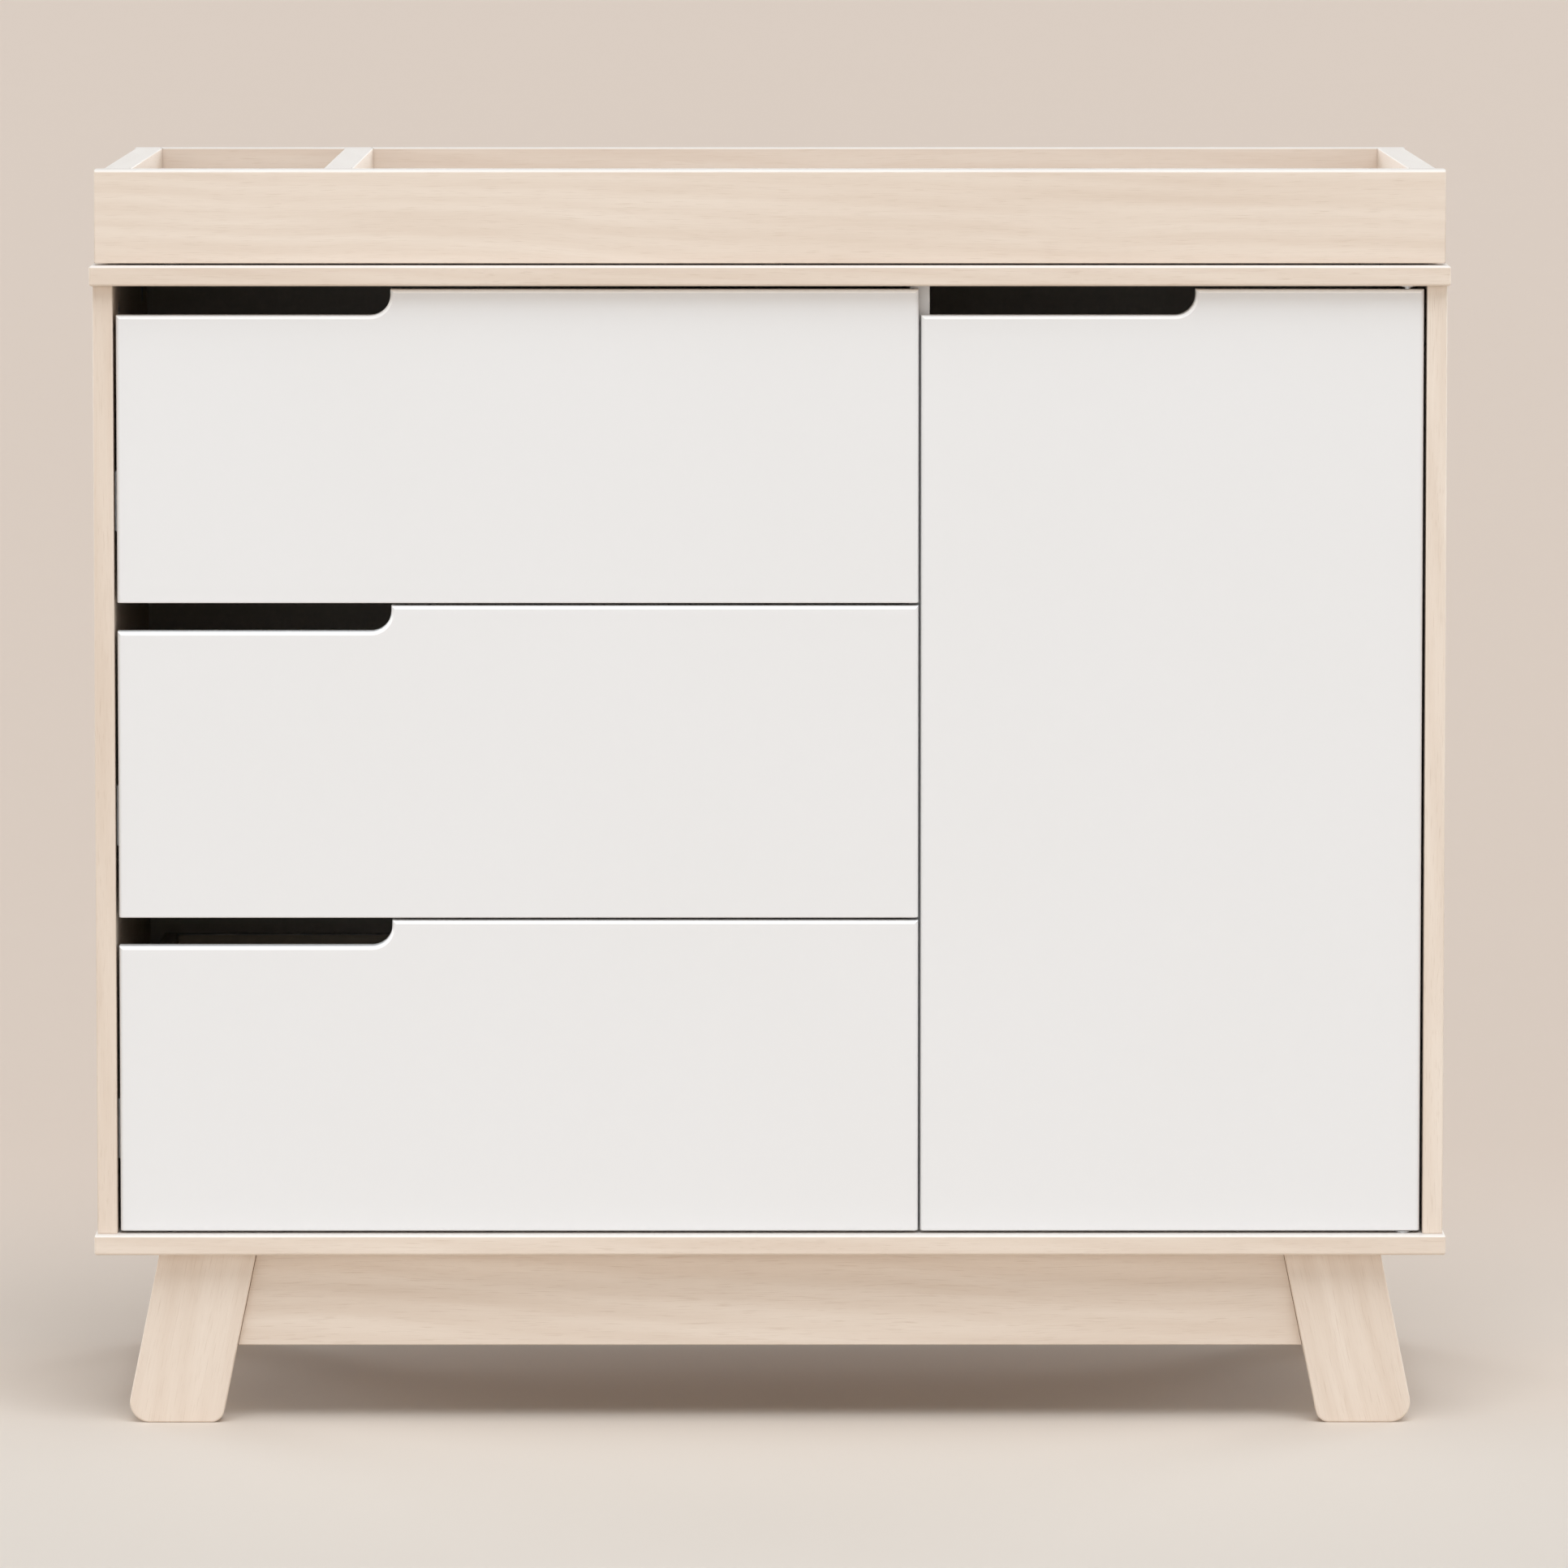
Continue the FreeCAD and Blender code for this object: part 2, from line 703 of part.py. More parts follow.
def channel(label, wall_x, web, lip, half_height, inward, place_z):
    """One slide member: a bent sheet channel; web and lip are measured from the wall."""
    thick = size("slide_sheet") * (1 if value(lip) > value(web) else -1)
    flange = half_height - size("slide_sheet")
    outline = [
        (web * inward, -half_height),
        (lip * inward, -half_height),
        (lip * inward, -flange),
        ((web + thick) * inward, -flange),
        ((web + thick) * inward, flange),
        (lip * inward, flange),
        (lip * inward, half_height),
        (web * inward, half_height),
    ]
    return board(label, "y", outline, size("slide_length"), (wall_x, slide_y, place_z))


slide_step = size("slide_sheet") + size("slide_gap")
flange_step = size("slide_sheet") + size("ball_gap")
slide_half = size("slide_height") / 2
# web, lip and half height of each member, measured from the wall towards the drawer
slide_members = {
    "cabinet": (Length(0), size("slide_space") - slide_step * 2, slide_half),
    "middle": (slide_step, size("slide_space") - slide_step, slide_half - flange_step),
    "drawer": (size("slide_space"), slide_step * 2, slide_half - flange_step * 2),
}
cabinet_members = []

for number, name in enumerate(drawer_names):
    low_z = front_low_z + (drawer_height + size("front_gap")) * number
    box_z = low_z + size("box_lift")
    keep(notched_front(f"{name}_drawer_front", drawer_width, drawer_height,
                       (drawer_left, front_face_y, low_z)))
    keep(grooved_side(f"{name}_drawer_left_side", box_left, 1, box_z))
    keep(grooved_side(f"{name}_drawer_right_side", box_right, -1, box_z))
    bottom_z = box_z + size("groove_height")
    bottom_inset = size("box_board") - size("groove_depth") + size("groove_clearance")
    keep(board(f"{name}_drawer_bottom", "z",
               rectangle(box_right - box_left - bottom_inset * 2, size("box_length")),
               size("box_bottom_thick"),
               (box_left + bottom_inset, front_rear_y, bottom_z)))
    back_low = size("groove_height") + size("box_bottom_thick")
    back = board(f"{name}_drawer_back", "y",
                 rectangle(box_right - box_left - size("box_board") * 2,
                           size("box_height") - back_low),
                 size("box_board"),
                 (box_left + size("box_board"),
                  front_rear_y + size("box_length") - size("box_board"), box_z + back_low))
    keep(soften(back, size("box_round"), at(z="high", along="x")))
    for member, (web, lip, half_height) in slide_members.items():
        pair = [channel(f"{name}_{member}_slide_{hand}", wall_x, web, lip, half_height,
                        inward, box_z + size("slide_lift"))
                for hand, wall_x, inward in (("left", -side_inner, 1),
                                             ("right", partition_left, -1))]
        if member == "cabinet":
            cabinet_members += pair
        else:
            keep(gather(f"{name}_slide_{member}_members", pair))
keep(gather("slide_cabinet_members", cabinet_members))


# --- Changing tray: rails, divider, base, feet pads and hook brackets ---

tray_front_half = half_width - size("tray_end_inset")
tray_outer = tray_front_half - size("tray_side_step")
tray_inner = tray_outer - size("tray_rail")
tray_front_y = front_y + size("tray_setback")
tray_inside_front_y = tray_front_y + size("tray_rail")
tray_inside_rear_y = back_y - size("tray_rail")
inside_depth = tray_inside_rear_y - tray_inside_front_y

front_rail = board("tray_front_rail", "y", rectangle(tray_front_half * 2, size("tray_height")),
                   size("tray_rail"), (-tray_front_half, tray_front_y, tray_bottom))
soften(front_rail, size("tray_round"), at(y="low", z="high"))
keep(soften(front_rail, size("tray_edge"), at(y="high", z="high"), at(y="low", z="low"),
            at(x="low", along="z"), at(x="high", along="z")))

for hand, low_x, outside, inside in (("left", -tray_outer, "low", "high"),
                                     ("right", tray_inner, "high", "low")):
    rail = board(f"tray_{hand}_rail", "x",
                 rectangle(inside_depth, size("tray_height")), size("tray_rail"),
                 (low_x, tray_inside_front_y, tray_bottom))
    soften(rail, size("tray_round"), at(x=outside, z="high"))
    keep(soften(rail, size("tray_edge"), at(x=inside, z="high"), at(x=outside, z="low")))

divider_left = -tray_inner + size("small_bay_width")
divider_right = divider_left + size("tray_rail")
divider = board("tray_divider", "x", rectangle(inside_depth, size("tray_height")),
                size("tray_rail"), (divider_left, tray_inside_front_y, tray_bottom))
keep(soften(divider, size("tray_edge"), at(x="low", z="high"), at(x="high", z="high")))

for bay, bay_left, bay_right in (("small", -tray_inner, divider_left),
                                 ("pad", divider_right, tray_inner)):
    keep(board(f"tray_{bay}_bay_base", "z", rectangle(bay_right - bay_left, inside_depth),
               size("tray_base_thick"), (bay_left, tray_inside_front_y, tray_bottom)))

pad_pieces = []
for place_name, pad_y in (("front", tray_front_y + size("tray_rail") / 2),
                          ("rear", back_y - size("tray_rail") / 2)):
    for side, sign in (("left", -1), ("middle", 0), ("right", 1)):
        pad_x = (half_width - size("tray_pad_inset")) * sign
        pad_pieces.append(rod(f"{place_name}_{side}_pad", "z", size("tray_pad_radius"),
                              size("tray_pad_thick"), (pad_x, pad_y, table_top)))
keep(gather("tray_pads", pad_pieces))

bracket_pieces = []
bracket_screw_pieces = []
hook_pieces = []
rail_drills = []
bracket_z = table_top - size("bracket_drop")
bracket_height = size("bracket_drop") + size("tray_pad_thick") + size("bracket_rise")
slot_half = size("hook_radius") + size("hook_clearance")
hook_z = table_top - size("slab_thick") / 2
slot_top = hook_z + slot_half - bracket_z
for hand, sign in hands.items():
    middle_x = size("bracket_from_middle") * sign
    bracket_middle = size("bracket_width") / 2
    outline = [
        (0, 0),
        (bracket_middle - slot_half, 0),
        (bracket_middle - slot_half, slot_top),
        (bracket_middle + slot_half, slot_top),
        (bracket_middle + slot_half, 0),
        (size("bracket_width"), 0),
        (size("bracket_width"), bracket_height),
        (0, bracket_height),
    ]
    blank = board(f"{hand}_bracket", "y", outline, size("bracket_thick"),
                  (middle_x - bracket_middle, back_y, bracket_z))
    plate_drills = []
    for row in range(2):
        tag = f"{hand}_bracket_screw_{row}"
        screw_z = (bracket_z + bracket_height - size("bracket_hole_drop")
                   - size("bracket_hole_pitch") * row)
        clear_radius = size("bracket_screw_radius") + size("fastener_clearance")
        screw_y = back_y - size("bracket_screw_bite")
        plate_drills.append(rod(tag + "_plate_hole", "y", clear_radius,
                                size("bracket_thick"), (middle_x, back_y, screw_z)))
        rail_drills.append(rod(tag + "_rail_hole", "y", clear_radius,
                               size("bracket_screw_bite"), (middle_x, screw_y, screw_z)))
        shank = rod(tag + "_shank", "y", size("bracket_screw_radius"),
                    size("bracket_screw_bite") + size("bracket_thick"),
                    (middle_x, screw_y, screw_z))
        head = rod(tag + "_head", "y", size("bracket_screw_head_radius"), size("hook_head"),
                   (middle_x, back_y + size("bracket_thick"), screw_z))
        bracket_screw_pieces.append(fused(tag, [shank, head]))
    bracket = doc.addObject("Part::Cut", f"{hand}_bracket_drilled")
    bracket.Base = blank
    bracket.Tool = gather(f"{hand}_bracket_holes", plate_drills)
    bracket_pieces.append(bracket)
    hook_length = size("bracket_thick") + size("hook_play")
    shoulder = rod(f"{hand}_hook_shoulder", "y", size("hook_radius"),
                   size("hook_bite") + hook_length, (middle_x, back_y - size("hook_bite"), hook_z))
    hook_head = rod(f"{hand}_hook_head", "y", size("hook_head_radius"), size("hook_head"),
                    (middle_x, back_y + hook_length, hook_z))
    hook_pieces.append(fused(f"{hand}_hook", [shoulder, hook_head]))
    top_face_drills.append(rod(
        f"{hand}_hook_hole", "y", size("hook_radius") + size("fastener_clearance"),
        size("hook_bite"), (middle_x, back_y - size("hook_bite"), hook_z)))
back_rail = board("tray_back_rail", "y", rectangle(tray_outer * 2, size("tray_height")),
                  size("tray_rail"), (-tray_outer, tray_inside_rear_y, tray_bottom))
soften(back_rail, size("tray_round"), at(y="high", z="high"))
soften(back_rail, size("tray_edge"), at(y="low", z="high"), at(y="high", z="low"),
       at(x="low", along="z", y="high"), at(x="high", along="z", y="high"))
drilled("tray_back_rail", back_rail, rail_drills)
keep(gather("tray_brackets", bracket_pieces))
keep(gather("tray_bracket_screws", bracket_screw_pieces))
keep(gather("tray_hook_screws", hook_pieces))


# --- Top and bottom panels, drilled for everything that fastens to them ---

for sign, side in ((-1, "left"), (1, "right")):
    top_face_drills.append(rod(
        f"strap_hole_{side}", "y", size("strap_hole_radius"), size("strap_hole_depth"),
        (size("strap_hole_pitch") / 2 * sign, back_y - size("strap_hole_depth"), hook_z)))

for label, slab_z, drills in (("bottom_panel", size("leg_height"), bottom_face_drills),
                              ("top_panel", inside_top, top_face_drills)):
    slab = board(label, "z", rectangle(size("overall_width"), size("slab_depth")),
                 size("slab_thick"), (-half_width, front_y, slab_z))
    soften(slab, size("slab_round"), at(along="z"))
    soften(slab, size("slab_round"), at(z="high"), at(z="low"))
    drilled(label, slab, drills)


# --- Check every object, then write each piece ---

doc.recompute()
faults = [item.Name for item in doc.Objects
          if "Invalid" in item.State or "Error" in item.State]
for node in nodes:
    if node.Shape.isNull() or not node.Shape.isValid() or not node.Shape.Solids:
        faults.append(node.Label)
if faults:
    raise RuntimeError("failed: " + ", ".join(faults))

os.makedirs("parts", exist_ok=True)
for node in nodes:
    node.Shape.exportStep(f"parts/{node.Label}.step")
    box = node.Shape.BoundBox
    print(f"{node.Label:28s} {len(node.Shape.Solids):3d} solids  "
          f"x {box.XMin:8.1f} {box.XMax:8.1f}  y {box.YMin:8.1f} {box.YMax:8.1f}  "
          f"z {box.ZMin:7.1f} {box.ZMax:7.1f}")
print(len(nodes), "pieces")
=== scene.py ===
import math
import random

import bmesh
import bpy
from mathutils import Matrix, Vector


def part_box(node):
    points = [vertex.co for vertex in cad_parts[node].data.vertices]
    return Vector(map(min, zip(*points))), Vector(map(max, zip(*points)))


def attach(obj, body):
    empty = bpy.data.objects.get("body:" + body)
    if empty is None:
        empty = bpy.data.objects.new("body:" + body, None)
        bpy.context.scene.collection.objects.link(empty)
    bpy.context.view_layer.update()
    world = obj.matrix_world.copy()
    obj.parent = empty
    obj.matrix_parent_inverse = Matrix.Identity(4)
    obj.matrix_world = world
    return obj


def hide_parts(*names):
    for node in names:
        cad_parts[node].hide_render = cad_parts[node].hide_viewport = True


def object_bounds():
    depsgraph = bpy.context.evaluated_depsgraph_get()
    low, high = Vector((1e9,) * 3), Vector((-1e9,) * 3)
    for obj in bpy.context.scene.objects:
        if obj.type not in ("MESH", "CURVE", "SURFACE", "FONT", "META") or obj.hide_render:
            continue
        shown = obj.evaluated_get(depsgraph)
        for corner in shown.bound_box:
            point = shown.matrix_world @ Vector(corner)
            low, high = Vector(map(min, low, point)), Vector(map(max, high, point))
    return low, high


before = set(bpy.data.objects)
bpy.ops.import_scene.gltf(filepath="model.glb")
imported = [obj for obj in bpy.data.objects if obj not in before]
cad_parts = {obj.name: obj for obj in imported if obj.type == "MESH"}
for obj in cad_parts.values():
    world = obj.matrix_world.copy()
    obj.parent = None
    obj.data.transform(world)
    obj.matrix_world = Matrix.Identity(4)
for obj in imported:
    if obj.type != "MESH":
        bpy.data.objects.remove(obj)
cadLow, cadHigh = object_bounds()
print("frame loaded,", len(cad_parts), "parts")

mm = 0.001


# A socket that can be reckoned with: each operator adds a Math node
class Wire:
    def __init__(self, tree, socket):
        self.tree = tree
        self.socket = socket

    def maths(self, operation, other=0.0, flip=False, clamp=False):
        pair = {0: other, 1: self} if flip else {0: self, 1: other}
        return self.tree.add("Math", {"operation": operation, "use_clamp": clamp}, pair)

    def __add__(self, other):
        return self.maths("ADD", other)

    def __sub__(self, other):
        return self.maths("SUBTRACT", other)

    def __mul__(self, other):
        return self.maths("MULTIPLY", other)

    def __truediv__(self, other):
        return self.maths("DIVIDE", other)

    def __radd__(self, other):
        return self.maths("ADD", other, flip=True)

    def __rsub__(self, other):
        return self.maths("SUBTRACT", other, flip=True)

    def __rmul__(self, other):
        return self.maths("MULTIPLY", other, flip=True)

    def __rtruediv__(self, other):
        return self.maths("DIVIDE", other, flip=True)

    def clamped(self):
        return self.maths("ADD", 0.0, clamp=True)


# An emptied node tree, with one way to add any node
class NodeTree:
    def __init__(self, tree):
        self.nodes = tree.nodes
        self.links = tree.links
        self.nodes.clear()

    def feed(self, socket, value):
        if isinstance(value, Wire):
            self.links.new(value.socket, socket)
        elif socket.type == "RGBA" and len(value) == 3:
            socket.default_value = (*value, 1.0)
        else:
            socket.default_value = value

    def add(self, kind, settings=None, sockets=None, output=0):
        node = self.nodes.new("ShaderNode" + kind)
        for name, value in (settings or {}).items():
            if name == "stops":
                ramp = node.color_ramp.elements
                while len(ramp) < len(value):
                    ramp.new(0.5)
                for stop, (position, colour) in zip(ramp, value):
                    stop.position = position
                    stop.color = (*colour, 1.0)
            else:
                setattr(node, name, value)
        for name, value in (sockets or {}).items():
            self.feed(node.inputs[name], value)
        return Wire(self, node.outputs[output]) if node.outputs else node


# where the Mix node keeps its factor, its two colours and the mixed colour
mixSockets = {"factor": 0, "first": 6, "second": 7, "result": 2}

# how near to level a top has to be before it counts as a top and not as an edge
levelTop = {"from": 0.93, "to": 0.995}


class Finish(NodeTree):
    def __init__(self, name):
        self.material = bpy.data.materials.new(name)
        self.material.use_nodes = True
        super().__init__(self.material.node_tree)

    # colour from one to another as the factor goes from 0 to 1
    def blendColour(self, factor, first, second):
        colours = {mixSockets["factor"]: factor, mixSockets["first"]: first,
                   mixSockets["second"]: second}
        return self.add("Mix", {"data_type": "RGBA"}, colours, mixSockets["result"])

    def place(self):
        return self.add("TexCoord", output="Object")

    def noise(self, vector, scale, detail=2.0, roughness=0.5, distortion=0.0):
        return self.add("TexNoise", {"noise_dimensions": "3D"},
                        {"Vector": vector, "Scale": scale, "Detail": detail,
                         "Roughness": roughness, "Distortion": distortion}, "Fac")

    def bump(self, height, strength, distance):
        return self.add("Bump", {}, {"Height": height, "Strength": strength,
                                     "Distance": distance}, "Normal")

    # mask for a painted highlight: 1 where the surface is rounded over and looks partly up, less on
    # level tops
    def paintedHighlight(self, level, start, full):
        facing = self.add("TexCoord", output="Normal")
        rise = self.add("SeparateXYZ", {}, {"Vector": facing}, "Z")
        tilt = self.smoothRise(rise, start, full)
        top = self.smoothRise(rise, levelTop["from"], levelTop["to"])
        return tilt - top * (1.0 - level)

    def smoothRise(self, value, start=0.0, full=1.0):
        return self.add("MapRange", {"interpolation_type": "SMOOTHSTEP"},
                        {"Value": value, "From Min": start, "From Max": full}, "Result")

    def wear(self, **values):
        sockets = {name.replace("_", " "): value for name, value in values.items()}
        shader = self.add("BsdfPrincipled", {}, sockets, "BSDF")
        self.add("OutputMaterial", {}, {"Surface": shader})
        return self.material



paleWash = {
    "light": (0.825, 0.722, 0.622),
    "dark": (0.700, 0.575, 0.468),
    "pore": (0.560, 0.430, 0.325),
    "poreShare": 0.35,
    "ringSpacing": 0.013,     # metres between growth rings
    "lean": 0.085,            # of the log's heart along the board
    "ringShare": 0.22,
    "heartDepth": 0.035,      # how far behind the board the heart lies
    "boardShare": 0.14,       # how much one board differs from the next
    "broadShare": 0.50,
    "cloudShare": 0.70,
    "fibreShare": 0.26,
    "wander": 0.030,          # metres by which the streaks stray sideways
    "strayStretch": (2.2, 7.0),     # noise per metre along and across the grain
    "broadStretch": (3.4, 44.0),
    "cloudStretch": (1.3, 6.0),
    "fibreStretch": (15.0, 620.0),
    "poreStretch": (50.0, 1700.0),
    "roughness": 0.50,
    "bump": 0.22,
    "bumpDepth": 0.0004,
    "coat": 0.06,
    "coatRoughness": 0.35,
    # the pale colour of the painted highlight on upper edges and level tops
    "paintedHighlight": (0.93, 0.905, 0.875),
    "highlightFrom": 0.15,       # how far up a surface looks where the painted highlight starts
    "highlightFull": 0.60,
    "edgeHighlight": 0.60,         # how strongly a rounded upper edge is lightened by the painted highlight
    "topHighlight": 0.88,          # the same on level tops, as a share of the edges'
}

# the tray's rear rail is painted darker: partly a darker board, partly painted shade for the shade
# that falls inside the tray
darkerBoardAndShade = dict(paleWash, light=(0.745, 0.640, 0.545), dark=(0.635, 0.505, 0.405), topHighlight=0.7)

boxBirch = dict(paleWash, light=(0.80, 0.70, 0.565), dark=(0.67, 0.54, 0.395),
                pore=(0.50, 0.37, 0.24), ringShare=0.30, roughness=0.46)

dowelBeech = dict(paleWash, light=(0.74, 0.60, 0.44), dark=(0.62, 0.47, 0.32), ringShare=0.1)


# Streaks run along the grain direction; every board takes its own stretch of the log
def makeWood(name, look, grain, sideways, through):
    wood = Finish(name)
    place = wood.place()
    own = wood.add("ObjectInfo", output="Random")

    def distance(direction):
        return wood.add("VectorMath", {"operation": "DOT_PRODUCT"},
                        {0: place, 1: direction}, "Value")

    along = distance(grain) + own * 31.0
    across = distance(sideways) + own * 7.0
    deep = distance(through) + own * 3.0

    def stretched(stretch, shift):
        alongScale, acrossScale = look[stretch]
        return wood.add("CombineXYZ", {}, {"X": along * alongScale + shift,
                                           "Y": across * acrossScale,
                                           "Z": deep * acrossScale})

    wander = wood.noise(stretched("strayStretch", 4.0), 1.0, 2.0) - 0.5
    across = across + wander * look["wander"]
    broad = wood.noise(stretched("broadStretch", 11.0), 1.0, 3.0, 0.55)
    cloud = wood.noise(stretched("cloudStretch", 23.0), 1.0, 2.0, 0.5)
    fibre = wood.noise(stretched("fibreStretch", 37.0), 1.0, 3.0, 0.6)
    pores = wood.noise(stretched("poreStretch", 51.0), 1.0, 1.0, 0.5)

    # growth rings of a log whose heart leans away behind the board, so they close in arches
    heart = deep + look["heartDepth"] + along * look["lean"]
    radius = (across * across + heart * heart).maths("SQRT") + wander * 0.010
    ring = (radius * (2 * math.pi / look["ringSpacing"])).maths("SINE")
    tone = (0.5 + (broad - 0.5) * (2.2 * look["broadShare"]) + (cloud - 0.5) * look["cloudShare"]
            + ring * (0.5 * look["ringShare"]) * (cloud + 0.4)
            + (fibre - 0.5) * (1.6 * look["fibreShare"]))
    tone = (tone + (own - 0.5) * look["boardShare"]).clamped()
    pore = ((pores - 0.60) * 7.0).clamped()
    colour = wood.blendColour(tone, look["dark"], look["light"])
    colour = wood.blendColour(pore * look["poreShare"], colour, look["pore"])
    # painted highlight: upper edges and level tops are lightened towards a pale colour, standing in
    # for the light they catch
    highlightShare = wood.paintedHighlight(look["topHighlight"], look["highlightFrom"], look["highlightFull"])
    colour = wood.blendColour(highlightShare * look["edgeHighlight"], colour, look["paintedHighlight"])
    height = fibre * 0.6 + tone * 0.3 - pore * 0.7
    roughness = look["roughness"] + (fibre - 0.5) * 0.16 + pore * 0.1
    return wood.wear(Base_Color=colour, Roughness=roughness,
                     Normal=wood.bump(height, look["bump"], look["bumpDepth"]),
                     Coat_Weight=look["coat"], Coat_Roughness=look["coatRoughness"])


axisX, axisY, axisZ = (1, 0, 0), (0, 1, 0), (0, 0, 1)


# the lean of a leg, from where its inner edge starts and where it leaves the apron
def legGrain(side):
    low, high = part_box("front_apron")
    apronLow, apronHigh = Vector(low), Vector(high)
    legLow, legHigh = (Vector(corner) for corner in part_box(f"front_{side}_leg"))
    sign = 1 if side == "right" else -1
    topIn = min(abs(legLow.x), abs(legHigh.x))
    lowerIn = max(abs(apronLow.x), abs(apronHigh.x))
    rise = apronHigh.z - apronLow.z
    lean = Vector(((lowerIn - topIn) * -sign, 0, rise)).normalized()
    return tuple(lean), tuple(Vector((lean.z, 0, -lean.x)))



satinWhite = {
    "colour": (0.796, 0.789, 0.788),
    "warmSpot": (0.786, 0.778, 0.770),
    "speck": (0.55, 0.52, 0.49),
    "speckShare": 0.06,
    "roughness": 0.36,
    "peel": 520.0,            # the lacquer's orange peel, per metre
    "bump": 0.05,
    "bumpDepth": 0.0003,
    "coat": 0.12,
    "coatRoughness": 0.28,
    # the colour of the painted highlight on the rounded upper edges
    "paintedHighlight": (0.985, 0.98, 0.97),
    "edgeHighlight": 0.95,         # how white the painted highlight makes the rounded upper edges
    "topHighlight": 0.8,
    "highlightFrom": 0.03,
    "highlightFull": 0.20,
}


def makeLacquer(name, look):
    paint = Finish(name)
    place = paint.place()
    cloud = paint.noise(place, 5.0, 3.0, 0.5)
    peel = paint.noise(place, look["peel"], 2.0, 0.5)
    speck = ((paint.noise(place, 1400.0, 1.0) - 0.74) * 9.0).clamped()
    colour = paint.blendColour(cloud, look["colour"], look["warmSpot"])
    colour = paint.blendColour(speck * look["speckShare"], colour, look["speck"])
    # painted highlight: the rounded upper edges are lightened to near white, standing in for the light
    # they catch
    highlightShare = paint.paintedHighlight(look["topHighlight"], look["highlightFrom"], look["highlightFull"])
    colour = paint.blendColour(highlightShare * look["edgeHighlight"], colour, look["paintedHighlight"])
    roughness = look["roughness"] + (cloud - 0.5) * 0.06 + (peel - 0.5) * 0.05
    return paint.wear(Base_Color=colour, Roughness=roughness,
                      Normal=paint.bump(peel, look["bump"], look["bumpDepth"]),
                      Coat_Weight=look["coat"], Coat_Roughness=look["coatRoughness"])


# brushed: noise per metre, low along the brushing
zincPlate = {"colour": (0.66, 0.67, 0.68), "dull": (0.50, 0.51, 0.53), "roughness": 0.34,
             "along": 12.0, "across": 900.0}
dieCast = {"colour": (0.58, 0.58, 0.60), "dull": (0.42, 0.42, 0.44), "roughness": 0.45,
           "along": 420.0, "across": 420.0}


def makeMetal(name, look, direction):
    metal = Finish(name)
    place = metal.place()
    brushed = tuple(look["along"] if part else look["across"] for part in direction)
    stretch = metal.add("VectorMath", {"operation": "MULTIPLY"}, {0: place, 1: brushed}, "Vector")
    lines = metal.noise(stretch, 1.0, 3.0, 0.6)
    stain = metal.noise(place, 38.0, 4.0, 0.6)
    spangle = metal.add("TexVoronoi", {"feature": "F1"}, {"Vector": place, "Scale": 260.0}, "Distance")
    colour = metal.blendColour((stain * 0.7 + lines * 0.3).clamped(), look["dull"], look["colour"])
    roughness = look["roughness"] + (lines - 0.5) * 0.22 + (spangle - 0.4) * 0.08
    return metal.wear(Base_Color=colour, Metallic=1.0, Roughness=roughness,
                      Normal=metal.bump(lines, 0.12, 0.00015))


whiteNylon = {"colour": (0.74, 0.73, 0.70), "other": (0.68, 0.67, 0.64), "grain": 900.0,
              "roughness": 0.5, "bump": 0.1}
darkFelt = {"colour": (0.07, 0.065, 0.06), "other": (0.035, 0.033, 0.03), "grain": 1600.0,
            "roughness": 0.95, "bump": 0.6}
darkFerrite = {"colour": (0.045, 0.045, 0.048), "other": (0.03, 0.03, 0.033), "grain": 900.0,
               "roughness": 0.6, "bump": 0.2}
paleFoil = {"colour": (0.72, 0.66, 0.59), "other": (0.66, 0.60, 0.53), "grain": 420.0,
            "roughness": 0.62, "bump": 0.12}
# a dark seam colour: painted shade for the shade in the fine seams where boards meet
seamShade = {"colour": (0.34, 0.24, 0.17), "other": (0.27, 0.19, 0.13), "grain": 700.0,
            "roughness": 0.7, "bump": 0.2}


# two near colours in a fine grain and a broad cloud
def makePlain(name, look):
    plain = Finish(name)
    place = plain.place()
    grain = plain.noise(place, look["grain"], 3.0, 0.6)
    cloud = plain.noise(place, look["grain"] / 18, 2.0, 0.5)
    mixed = plain.blendColour((grain * 0.5 + cloud * 0.5).clamped(), look["colour"], look["other"])
    return plain.wear(Base_Color=mixed, Roughness=look["roughness"] + (grain - 0.5) * 0.14,
                      Normal=plain.bump(grain, look["bump"], 0.0003))


